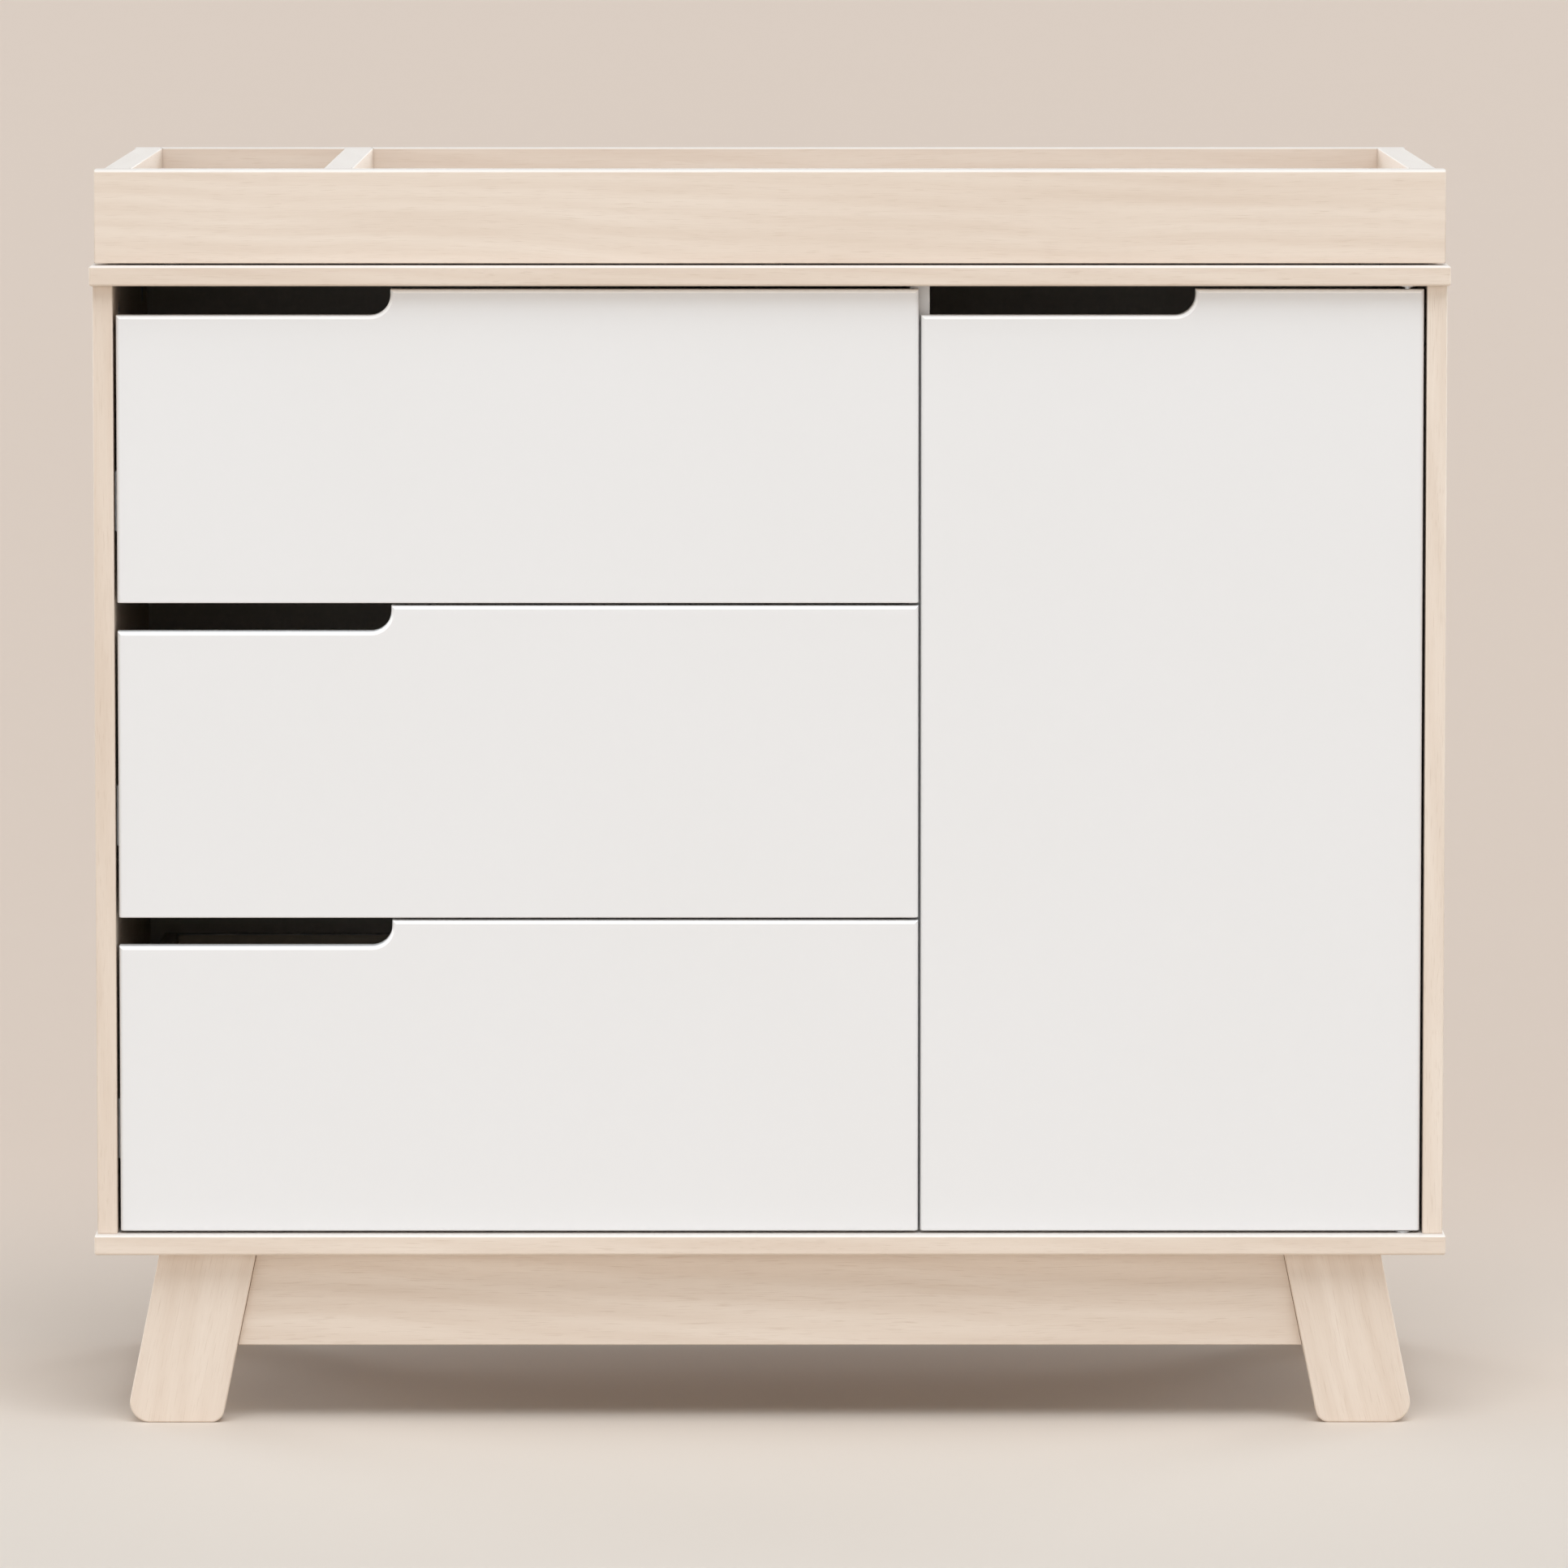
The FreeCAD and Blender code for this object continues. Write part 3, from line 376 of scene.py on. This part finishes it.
rightGrain, rightSide = legGrain("right")
leftGrain, leftSide = legGrain("left")
finishes = {
    "woodAlongX": makeWood("pale_wood_along_x", paleWash, axisX, axisZ, axisY),
    "woodRearRail": makeWood("pale_wood_rear_rail", darkerBoardAndShade, axisX, axisZ, axisY),
    "woodFlatX": makeWood("pale_wood_flat_x", paleWash, axisX, axisY, axisZ),
    "woodAlongY": makeWood("pale_wood_along_y", paleWash, axisY, axisZ, axisX),
    "woodUpright": makeWood("pale_wood_upright", paleWash, axisZ, axisY, axisX),
    "woodLegRight": makeWood("pale_wood_leg_right", paleWash, rightGrain, rightSide, axisY),
    "woodLegLeft": makeWood("pale_wood_leg_left", paleWash, leftGrain, leftSide, axisY),
    "boxAlongY": makeWood("birch_along_y", boxBirch, axisY, axisZ, axisX),
    "boxAlongX": makeWood("birch_along_x", boxBirch, axisX, axisZ, axisY),
    "boxFlat": makeWood("birch_flat", boxBirch, axisX, axisY, axisZ),
    "dowel": makeWood("beech_dowel", dowelBeech, axisX, axisY, axisZ),
    "seamShade": makePlain("seam_shade", seamShade),
    "white": makeLacquer("satin_white", satinWhite),
    "steelAlongY": makeMetal("zinc_steel_y", zincPlate, axisY),
    "steelAlongX": makeMetal("zinc_steel_x", zincPlate, axisX),
    "steelUpright": makeMetal("zinc_steel_z", zincPlate, axisZ),
    "castZinc": makeMetal("cast_zinc", dieCast, axisX),
    "nylon": makePlain("white_nylon", whiteNylon),
    "felt": makePlain("dark_felt", darkFelt),
    "ferrite": makePlain("dark_ferrite", darkFerrite),
    "foil": makePlain("pale_foil", paleFoil),
}
print("finishes made,", len(finishes))

partFinishes = {
    "woodAlongX": ["tray_front_rail", "front_apron", "rear_apron"],
    "woodRearRail": ["tray_back_rail"],
    "woodFlatX": ["top_panel", "bottom_panel", "upper_shelf", "lower_shelf",
                  "tray_small_bay_base", "tray_pad_bay_base"],
    "woodAlongY": ["tray_left_rail", "tray_right_rail", "tray_divider", "left_stretcher",
                   "right_stretcher"],
    "woodUpright": ["left_side_panel", "right_side_panel", "corner_blocks"],
    "woodLegRight": ["front_right_leg", "rear_right_leg"],
    "woodLegLeft": ["front_left_leg", "rear_left_leg"],
    "dowel": ["apron_dowels"],
    "white": ["door_panel", "centre_partition"],
    "foil": ["back_panel"],
    "steelAlongY": ["slide_cabinet_members"],
    "steelUpright": ["cam_bolts", "door_pivots", "tray_brackets", "strike_plate",
                     "corner_screws", "tray_bracket_screws", "tray_hook_screws"],
    "steelAlongX": ["shelf_pins"],
    "castZinc": ["cam_locks"],
    "nylon": ["door_bushings", "magnet_catch"],
    "felt": ["tray_pads"],
}
drawerNames = ["lower", "middle", "upper"]
for drawer in drawerNames:
    partFinishes["white"].append(f"{drawer}_drawer_front")
    partFinishes.setdefault("boxAlongY", []).extend(
        [f"{drawer}_drawer_left_side", f"{drawer}_drawer_right_side"])
    partFinishes.setdefault("boxAlongX", []).append(f"{drawer}_drawer_back")
    partFinishes.setdefault("boxFlat", []).append(f"{drawer}_drawer_bottom")
    partFinishes["steelAlongY"] += [f"{drawer}_slide_drawer_members", f"{drawer}_slide_middle_members"]

for finish, names in partFinishes.items():
    for name in names:
        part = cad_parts[name]
        part.data.materials.clear()
        part.data.materials.append(finishes[finish])
finished = {name for names in partFinishes.values() for name in names}
print("boards and fittings finished; left without:", sorted(set(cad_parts) - finished))


# faces as lists of points, gathered from many placed copies of a shape
class Heap:
    def __init__(self):
        self.points = []
        self.faces = []

    def put(self, shape, turn=Matrix.Identity(4)):
        points, faces = shape
        start = len(self.points)
        self.points += [turn @ Vector(point) for point in points]
        self.faces += [tuple(start + index for index in face) for face in faces]

    def build(self, name, finish, body, slot, sharp=35.0):
        mesh = bpy.data.meshes.new(name)
        mesh.from_pydata(self.points, [], self.faces)
        shape = bmesh.new()
        shape.from_mesh(mesh)
        bmesh.ops.recalc_face_normals(shape, faces=shape.faces)
        shape.to_mesh(mesh)
        shape.free()
        mesh.shade_smooth()
        mesh.set_sharp_from_angle(angle=math.radians(sharp))
        mesh.materials.append(finishes[finish])
        piece = bpy.data.objects.new(name, mesh)
        bpy.context.collection.objects.link(piece)
        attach(piece, body)
        return piece


# radius and height pairs spun about Z; a radius of 0 closes the shape
def turned(profile, steps=24):
    points, rings = [], []
    for radius, height in profile:
        count = steps if radius > 0 else 1
        rings.append(range(len(points), len(points) + count))
        for step in range(count):
            angle = 2 * math.pi * step / steps
            points.append((radius * math.cos(angle), radius * math.sin(angle), height))
    faces = []
    for lower, upper in zip(rings, rings[1:]):
        for step in range(steps):
            ahead = (step + 1) % steps
            corners = [lower[step % len(lower)], lower[ahead % len(lower)],
                       upper[ahead % len(upper)], upper[step % len(upper)]]
            faces.append(tuple(dict.fromkeys(corners)))
    return points, faces


# a round head with a cross recess, rising along Z from a flat rim
def crossHead(look):
    radius, rise, deep = look["radius"], look["rise"], look["recess"]
    long, narrow = look["crossLength"] / 2, look["crossWidth"] / 2
    cross = [(long, narrow), (narrow, narrow), (narrow, long)]
    outline = []
    for quarter in range(4):
        for x, y in cross:
            for _ in range(quarter):
                x, y = -y, x
            outline.append((x, y))
    shape = bmesh.new()
    steps = 24

    def ring(size, height):
        made = [shape.verts.new((size * math.cos(2 * math.pi * step / steps),
                                 size * math.sin(2 * math.pi * step / steps), height))
                for step in range(steps)]
        return made, [shape.edges.new((made[i - 1], made[i])) for i in range(steps)]

    rings = [ring(radius, 0.0), ring(radius, rise * 0.45),
             ring(radius * 0.86, rise * 0.82), ring(radius * 0.66, rise)]
    for (lower, _), (upper, _) in zip(rings, rings[1:]):
        for i in range(steps):
            shape.faces.new((lower[i - 1], lower[i], upper[i], upper[i - 1]))
    mouth = [shape.verts.new((x, y, rise)) for x, y in outline]
    floor = [shape.verts.new((x * 0.7, y * 0.7, rise - deep)) for x, y in outline]
    mouthEdges = [shape.edges.new((mouth[i - 1], mouth[i])) for i in range(len(mouth))]
    for i in range(len(mouth)):
        shape.faces.new((mouth[i - 1], mouth[i], floor[i], floor[i - 1]))
    shape.faces.new(floor)
    bmesh.ops.triangle_fill(shape, edges=rings[-1][1] + mouthEdges, use_beauty=True)
    shape.verts.index_update()
    result = ([tuple(vert.co) for vert in shape.verts],
              [tuple(vert.index for vert in face.verts) for face in shape.faces])
    shape.free()
    return result


# a flat plate with rounded corners and softened edges, lying in XY from Z 0 upwards
def plate(width, height, thick, corner, soft):
    outline = []
    for cornerX, cornerY, start in ((1, 1, 0), (-1, 1, 90), (-1, -1, 180), (1, -1, 270)):
        for step in range(5):
            angle = math.radians(start + step * 22.5)
            outline.append((cornerX * (width / 2 - corner), cornerY * (height / 2 - corner),
                            math.cos(angle), math.sin(angle)))
    levels = [(0.0, corner), (thick - soft, corner), (thick, corner - soft)]
    points = [(x + cos * size, y + sin * size, z)
              for z, size in levels for x, y, cos, sin in outline]
    count = len(outline)
    faces = [tuple(reversed(range(count))), tuple(range(2 * count, 3 * count))]
    for level in range(2):
        for i in range(count):
            ahead = (i + 1) % count
            faces.append((level * count + i, level * count + ahead,
                          (level + 1) * count + ahead, (level + 1) * count + i))
    return points, faces


# the turn that stands a shape's Z along a direction at a place, spun about itself
def standing(place, direction, spin=0.0):
    turn = Vector(direction).to_track_quat("Z", "Y").to_matrix().to_4x4()
    return Matrix.Translation(place) @ turn @ Matrix.Rotation(spin, 4, "Z")


# the boxes of a part's separate solids, in a steady order
def solids(node):
    shape = bmesh.new()
    shape.from_mesh(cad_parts[node].data)
    bmesh.ops.remove_doubles(shape, verts=shape.verts, dist=1e-6)
    left = set(shape.verts)
    boxes = []
    while left:
        reach = [left.pop()]
        group = []
        while reach:
            vert = reach.pop()
            group.append(vert.co.copy())
            for edge in vert.link_edges:
                other = edge.other_vert(vert)
                if other in left:
                    left.remove(other)
                    reach.append(other)
        low = Vector(min(point[i] for point in group) for i in range(3))
        high = Vector(max(point[i] for point in group) for i in range(3))
        boxes.append((low, high))
    shape.free()
    return sorted(boxes, key=lambda box: tuple(round(value, 4) for value in box[0]))


camFace = {"radius": 6.9 * mm, "rise": 0.35 * mm, "recess": 2.2 * mm,
           "crossLength": 9.4 * mm, "crossWidth": 2.0 * mm}
panHead = {"radius": 3.9 * mm, "rise": 1.0 * mm, "recess": 0.9 * mm,
           "crossLength": 4.4 * mm, "crossWidth": 1.0 * mm}
baseHead = {"radius": 4.7 * mm, "rise": 1.1 * mm, "recess": 1.6 * mm,
            "crossLength": 5.6 * mm, "crossWidth": 1.3 * mm}
flatHead = {"radius": 3.2 * mm, "rise": 0.75 * mm, "recess": 0.55 * mm,
            "crossLength": 3.6 * mm, "crossWidth": 0.9 * mm}
chance = random.Random(11)


# the slotted face of each cam lock, on the side of its panel that the lock is put in from
def makeCamFaces():
    heap = Heap()
    panels = [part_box(name) for name in ("left_side_panel", "right_side_panel", "centre_partition")]
    for low, high in solids("cam_locks"):
        middle = (low + high) / 2
        for panelLow, panelHigh in panels:
            if panelLow[0] - mm < middle.x < panelHigh[0] + mm:
                onHigh = abs(high.x - panelHigh[0]) < abs(low.x - panelLow[0])
                place = Vector((high.x if onHigh else low.x, middle.y, middle.z))
                facing = (1 if onHigh else -1, 0, 0)
                heap.put(crossHead(camFace), standing(place, facing, chance.uniform(-0.12, 0.12)))
    heap.build("cam_faces", "castZinc", "carcass", "cast_zinc")


# heads with a cross recess for every screw that ends in a plain disc
def makeScrewHeads():
    groups = [("corner_screws", "corner_screw_heads", baseHead, (0, 0, -1), "carcass"),
              ("tray_hook_screws", "hook_screw_heads", baseHead, (0, 1, 0), "carcass"),
              ("tray_bracket_screws", "bracket_screw_heads", panHead, (0, 1, 0), "tray")]
    for node, name, look, facing, body in groups:
        heap = Heap()
        for low, high in solids(node):
            middle = (low + high) / 2
            place = Vector((middle.x, middle.y, low.z) if facing[2] < 0
                           else (middle.x, high.y, middle.z))
            heap.put(crossHead(look), standing(place, facing, chance.uniform(0, math.pi / 2)))
        heap.build(name, "steelUpright", body, "zinc_steel")


slideDetail = {
    "ball": 0.8 * mm,
    "pitch": 7.0 * mm,
    "outerRow": (-0.030, 0.110),     # the rows between the cabinet and middle members
    "innerRow": (-0.190, -0.030),    # the rows between the middle and drawer members
    "screwPlaces": (0.06, 0.42, 0.90),   # along a member, as shares of its length
    "sheet": 1.2 * mm,        # the members are folded from this
    "cage": 0.5 * mm,
    "cageSide": 0.6 * mm,     # taken off the cage's width for running room
    "cageCorner": 1.2 * mm,
    "cageSoft": 0.1 * mm,
    "ballTilts": (-50, -15, 20, 55),
    "ballSides": 8,
    "sameLevel": 10 * mm,     # how near the members of one slide lie to each other
    "sameSide": 20 * mm,
}


# ball rows in their cages, and the flat screws that hold the members
def makeSlideDetail():
    look = slideDetail
    bands = [(look["ball"] * math.cos(math.radians(tilt)), look["ball"] * math.sin(math.radians(tilt)))
             for tilt in look["ballTilts"]]
    ball = turned([(0, -look["ball"])] + bands + [(0, look["ball"])], look["ballSides"])
    cabinet = solids("slide_cabinet_members")
    cabinetScrews = Heap()
    for drawer in drawerNames:
        balls, cages, drawerScrews = Heap(), Heap(), Heap()
        middles = solids(f"{drawer}_slide_middle_members")
        drawerSide = solids(f"{drawer}_slide_drawer_members")
        pairs = [(1, middles[0], drawerSide[0]), (-1, middles[-1], drawerSide[-1])]
        for inward, middle, moving in pairs:
            level = (middle[0].z + middle[1].z) / 2
            side = (middle[0].x + middle[1].x) / 2
            fixed = next(box for box in cabinet
                         if abs((box[0].z + box[1].z) / 2 - level) < look["sameLevel"]
                         and abs((box[0].x + box[1].x) / 2 - side) < look["sameSide"])
            rows = [(fixed, middle, look["outerRow"]), (middle, moving, look["innerRow"])]
            for outer, inner, (start, end) in rows:
                overlapLow = max(outer[0].x, inner[0].x)
                overlapHigh = min(outer[1].x, inner[1].x)
                rowX = (overlapLow + overlapHigh) / 2
                gapMiddle = (outer[1].z - look["sheet"] + inner[1].z) / 2 - level
                for half in (1, -1):
                    rowZ = level + gapMiddle * half
                    strip = plate(end - start + look["pitch"],
                                  overlapHigh - overlapLow - look["cageSide"],
                                  look["cage"], look["cageCorner"], look["cageSoft"])
                    spot = (rowX, (start + end) / 2, rowZ - look["cage"] / 2)
                    cages.put(strip, Matrix.Translation(spot) @ Matrix.Rotation(math.pi / 2, 4, "Z"))
                    for step in range(int((end - start) / look["pitch"]) + 1):
                        balls.put(ball, Matrix.Translation((rowX, start + step * look["pitch"], rowZ)))
            for heap, member, facing, sheetX in (
                    (cabinetScrews, fixed, inward, fixed[0].x if inward > 0 else fixed[1].x),
                    (drawerScrews, moving, -inward, moving[1].x if inward > 0 else moving[0].x)):
                for share in look["screwPlaces"]:
                    along = member[0].y + (member[1].y - member[0].y) * share
                    place = (sheetX + facing * look["sheet"], along, level)
                    heap.put(crossHead(flatHead),
                             standing(place, (facing, 0, 0), chance.uniform(0, 1.5)))
        balls.build(f"{drawer}_slide_balls", "castZinc", f"{drawer}_slides", "zinc_steel", 80.0)
        cages.build(f"{drawer}_ball_cages", "steelAlongY", f"{drawer}_slides", "zinc_steel")
        drawerScrews.build(f"{drawer}_slide_screws", "castZinc", f"{drawer}_drawer", "zinc_steel")
    cabinetScrews.build("cabinet_slide_screws", "castZinc", "carcass", "zinc_steel")


pinShape = {"collar": 4.2 * mm, "collarThick": 0.8 * mm, "nose": 0.7 * mm}


# shelf pins with a thin collar against the panel and a domed nose
def makeShelfPins():
    heap = Heap()
    for low, high in solids("shelf_pins"):
        middle = (low + high) / 2
        radius = (high.z - low.z) / 2
        walls = [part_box("centre_partition")[1][0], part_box("right_side_panel")[0][0]]
        wall = min(walls, key=lambda x: abs(x - middle.x))
        inward = 1 if wall == walls[0] else -1
        buried = (wall - low.x) if inward > 0 else (high.x - wall)
        length = high.x - low.x
        nose = pinShape["nose"]
        profile = [(0, 0), (radius, 0), (radius, buried), (pinShape["collar"], buried),
                   (pinShape["collar"], buried + pinShape["collarThick"]),
                   (radius, buried + pinShape["collarThick"]), (radius, length - nose),
                   (radius * 0.8, length - nose * 0.3), (radius * 0.4, length), (0, length)]
        start = (low.x if inward > 0 else high.x, middle.y, middle.z)
        heap.put(turned(profile), standing(start, (inward, 0, 0)))
    pins = heap.build("shelf_pins_turned", "steelAlongX", "carcass", "zinc_steel")
    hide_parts("shelf_pins")


catchPoles = {
    "depth": 6.0 * mm,        # how far plates and magnet reach into the catch
    "corner": 0.3 * mm,
    "plateSize": (8.5 * mm, 1.3 * mm),
    "plateApart": 3.2 * mm,   # from the middle of the catch
    "plateProud": 0.12 * mm,
    "plateSoft": 0.1 * mm,
    "magnetSize": (8.0 * mm, 4.8 * mm),
    "magnetProud": 0.05 * mm,
    "magnetSoft": 0.2 * mm,
}


# two steel pole plates with a dark magnet between them, let into the face of the catch
def makeCatchPoles():
    look = catchPoles
    deep, corner = look["depth"], look["corner"]
    low, high = (Vector(corner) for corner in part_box("magnet_catch"))
    middle = (low + high) / 2
    plates, magnet = Heap(), Heap()
    upright = Matrix.Rotation(math.pi / 2, 4, "X")
    for side in (-1, 1):
        spot = (middle.x, low.y - look["plateProud"] + deep, middle.z + side * look["plateApart"])
        plates.put(plate(*look["plateSize"], deep, corner, look["plateSoft"]),
                   Matrix.Translation(spot) @ upright)
    spot = (middle.x, low.y - look["magnetProud"] + deep, middle.z)
    magnet.put(plate(*look["magnetSize"], deep, corner, look["magnetSoft"]),
               Matrix.Translation(spot) @ upright)
    plates.build("catch_pole_plates", "steelAlongX", "carcass", "zinc_steel")
    magnet.build("catch_magnet", "ferrite", "carcass", "cast_zinc")


backNails = {"radius": 2.4 * mm, "rise": 0.6 * mm, "pitch": 95 * mm, "inset": 7 * mm,
             "astray": 1.5 * mm, "sides": 12}


# small domed nails round the edge of the back panel
def makeBackNails():
    look = backNails
    low, high = (Vector(corner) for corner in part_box("back_panel"))
    nail = turned([(look["radius"], 0), (look["radius"], look["rise"] * 0.4),
                   (look["radius"] * 0.7, look["rise"] * 0.85), (0, look["rise"])], look["sides"])
    spots = []
    left, right = low.x + look["inset"], high.x - look["inset"]
    bottom, top = low.z + look["inset"], high.z - look["inset"]
    across = round((right - left) / look["pitch"])
    upward = round((top - bottom) / look["pitch"])
    for step in range(across + 1):
        x = left + (right - left) * step / across
        spots += [(x, bottom), (x, top)]
    partition = sum(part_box("centre_partition")[i][0] for i in (0, 1)) / 2
    for step in range(1, upward):
        z = bottom + (top - bottom) * step / upward
        spots += [(left, z), (right, z), (partition, z)]
    heap = Heap()
    for x, z in spots:
        wander = chance.uniform(-look["astray"], look["astray"])
        heap.put(nail, standing((x + wander, high.y, z + wander * 0.4), (0, 1, 0)))
    heap.build("back_panel_nails", "steelUpright", "carcass", "zinc_steel")


bumper = {"radius": 2.8 * mm, "rise": 1.3 * mm, "inset": 26 * mm, "sides": 18,
          "doorIn": 3.6 * mm, "drawerIn": 3.4 * mm,   # from the partition's face
          "topShare": 1.6}    # the upper dot sits this much further in


# soft dots that the fronts close against, on the partition's edge
def makeBumpers():
    partitionLow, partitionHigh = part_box("centre_partition")
    dot = turned([(bumper["radius"], 0), (bumper["radius"], bumper["rise"] * 0.6),
                  (bumper["radius"] * 0.75, bumper["rise"] * 0.92), (0, bumper["rise"])],
                 bumper["sides"])
    fronts = [("door_panel", "door", partitionHigh[0] - bumper["doorIn"])]
    fronts += [(f"{drawer}_drawer_front", f"{drawer}_drawer", partitionLow[0] + bumper["drawerIn"])
               for drawer in drawerNames]
    for node, body, x in fronts:
        low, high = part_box(node)
        heap = Heap()
        for z in (low[2] + bumper["inset"], high[2] - bumper["inset"] * bumper["topShare"]):
            heap.put(dot, standing((x, high[1], z), (0, 1, 0)))
        heap.build(f"{body}_bumpers", "nylon", body, "nylon")


boxCam = {"radius": 6.0 * mm, "rise": 0.3 * mm, "recess": 1.6 * mm,
          "crossLength": 7.8 * mm, "crossWidth": 1.7 * mm,
          "behind": 24 * mm, "heights": (0.32, 0.78)}    # from the front, up the side


# cams that draw each drawer side against its front, seen from inside the drawer
def makeBoxCams():
    for drawer in drawerNames:
        heap = Heap()
        for side, inward in (("left", 1), ("right", -1)):
            low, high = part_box(f"{drawer}_drawer_{side}_side")
            face = high[0] if inward > 0 else low[0]
            for share in boxCam["heights"]:
                place = (face, low[1] + boxCam["behind"], low[2] + (high[2] - low[2]) * share)
                heap.put(crossHead(boxCam),
                         standing(place, (inward, 0, 0), chance.uniform(-0.2, 0.2)))
        heap.build(f"{drawer}_box_cams", "castZinc", f"{drawer}_drawer", "cast_zinc")


makeCamFaces()
makeScrewHeads()
makeSlideDetail()
makeShelfPins()
makeCatchPoles()
makeBackNails()
makeBumpers()
makeBoxCams()
print("small pieces made")


# the boards' sharp corners are broken by hand, which opens a fine seam where two meet
brokenEdges = {
    "width": 0.45 * mm,
    "steepest": 50,           # degrees; gentler corners are left as they are
    # parts whose broken edges are painted the dark seam colour, as painted shade in the seams
    "dark": ["tray_front_rail", "tray_left_rail", "tray_right_rail", "tray_divider",
             "front_apron", "rear_apron"],
    "parts": ["tray_front_rail", "tray_back_rail", "tray_left_rail", "tray_right_rail",
              "tray_divider", "front_apron", "rear_apron", "left_stretcher", "right_stretcher",
              "left_side_panel", "right_side_panel", "centre_partition", "upper_shelf",
              "lower_shelf", "corner_blocks"],
}


def breakEdges():
    for name in brokenEdges["parts"]:
        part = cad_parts[name]
        join = part.modifiers.new("weld", "WELD")
        join.merge_threshold = 1e-6
        soft = part.modifiers.new("broken_edges", "BEVEL")
        soft.width = brokenEdges["width"]
        soft.segments = 1
        soft.limit_method = "ANGLE"
        # the seams keep their width beside fine roundings; the rear rail gets fine slivers from it
        soft.use_clamp_overlap = False
        soft.angle_limit = math.radians(brokenEdges["steepest"])
        # on these parts the broken edges are painted the dark seam colour, painted shade for the shade
        # in the seams
        if name in brokenEdges["dark"]:
            part.data.materials.append(finishes["seamShade"])
            soft.material = len(part.data.materials) - 1


breakEdges()



studio = {
    "floorSize": 240.0,
    "nearFloor": (0.715, 0.636, 0.556),
    "farFloor": (0.648, 0.528, 0.436),
    "fadeFrom": -0.6,         # the floor darkens a little between these distances
    "fadeTo": 1.6,
    "mottle": 0.10,           # and is a little uneven
    "mottleScale": 2.2,
    "horizon": (1.75, 1.58, 1.43),
    "glow": (2.75, 2.55, 2.34),   # a bright band above what a level camera sees
    "zenith": (0.770, 0.810, 0.850),
    "skyStops": (0.09, 0.15, 0.45),      # where horizon, glow and zenith sit, by height
    "skyStrength": 0.42,
    "lampAway": 6.0,          # only where the lamps' icons stand
    "lights": [
        # name, strength, spread in degrees, direction it comes from, colour
        ("frontLight", 0.34, 30.0, (-0.20, -1.0, 0.10), (0.935, 0.985, 1.04)),
        ("leftFill", 0.55, 30.0, (-1.0, 0.0, 0.12), (0.935, 0.985, 1.04)),
        ("rightFill", 0.44, 30.0, (1.0, 0.0, 0.12), (0.935, 0.985, 1.04)),
        ("rearLeftFill", 1.15, 26.0, (-0.75, 1.0, 0.12), (0.935, 0.985, 1.04)),
        ("rearRightFill", 1.15, 26.0, (0.75, 1.0, 0.12), (0.935, 0.985, 1.04)),
        ("topLight", 2.0, 45.0, (0.10, -0.55, 1.0), (0.935, 0.985, 1.04)),
    ],
}


# one plain floor that fades a little with distance, and a sky that meets it softly
def makeStage():
    mesh = bpy.data.meshes.new("floor")
    half = studio["floorSize"] / 2
    corners = [(-half, -half, 0), (half, -half, 0), (half, half, 0), (-half, half, 0)]
    mesh.from_pydata(corners, [], [(0, 1, 2, 3)])
    floor = bpy.data.objects.new("floor", mesh)
    bpy.context.collection.objects.link(floor)
    paint = Finish("pale_floor")
    place = paint.place()
    depth = paint.add("SeparateXYZ", {}, {"Vector": place}, "Y")
    share = (depth - studio["fadeFrom"]) / (studio["fadeTo"] - studio["fadeFrom"])
    share = paint.smoothRise(share)
    mottle = (paint.noise(place, studio["mottleScale"], 5.0, 0.6) - 0.5) * studio["mottle"]
    colour = paint.blendColour((share + mottle).clamped(), studio["nearFloor"], studio["farFloor"])
    paint.wear(Base_Color=colour, Roughness=0.8)
    mesh.materials.append(paint.material)
    world = bpy.data.worlds.new("studio")
    world.use_nodes = True
    sky = NodeTree(world.node_tree)
    direction = sky.add("TexCoord", output="Generated")
    height = sky.add("SeparateXYZ", {}, {"Vector": direction}, "Z")
    tones = [studio[name] for name in ("horizon", "glow", "zenith")]
    colour = sky.add("ValToRGB", {"stops": list(zip(studio["skyStops"], tones))},
                     {"Fac": height}, "Color")
    glowing = sky.add("Background", {}, {"Color": colour, "Strength": studio["skyStrength"]})
    sky.add("OutputWorld", {}, {"Surface": glowing})
    bpy.context.scene.world = world


def makeLight(name, strength, spread, source, colour):
    data = bpy.data.lights.new(name, "SUN")
    data.angle = math.radians(spread)
    data.energy = strength
    data.color = colour
    lamp = bpy.data.objects.new(name, data)
    lamp.location = Vector(source).normalized() * studio["lampAway"]
    lamp.rotation_euler = (-lamp.location).to_track_quat("-Z", "Y").to_euler()
    bpy.context.collection.objects.link(lamp)


camera = {
    "distance": 8.25,      # in front of the top panel's front edge
    "eyeHeight": 1.2546,
    "lens": 254.3,
    "aim": (0.0108, 0.0, 0.4627),
    "sensor": 36.0,
    "clipEnd": 200.0,
}


def makeCamera():
    data = bpy.data.cameras.new("camera")
    data.lens = camera["lens"]
    data.sensor_width = camera["sensor"]
    data.clip_end = camera["clipEnd"]
    eye = bpy.data.objects.new("camera", data)
    eye.location = (0.0, cadLow.y - camera["distance"], camera["eyeHeight"])
    eye.rotation_euler = (Vector(camera["aim"]) - eye.location).to_track_quat("-Z", "Y").to_euler()
    bpy.context.collection.objects.link(eye)
    bpy.context.scene.camera = eye


makeStage()
for light in studio["lights"]:
    makeLight(*light)
makeCamera()
bpy.context.scene.view_settings.view_transform = "Standard"
print("stage, lights and camera set")
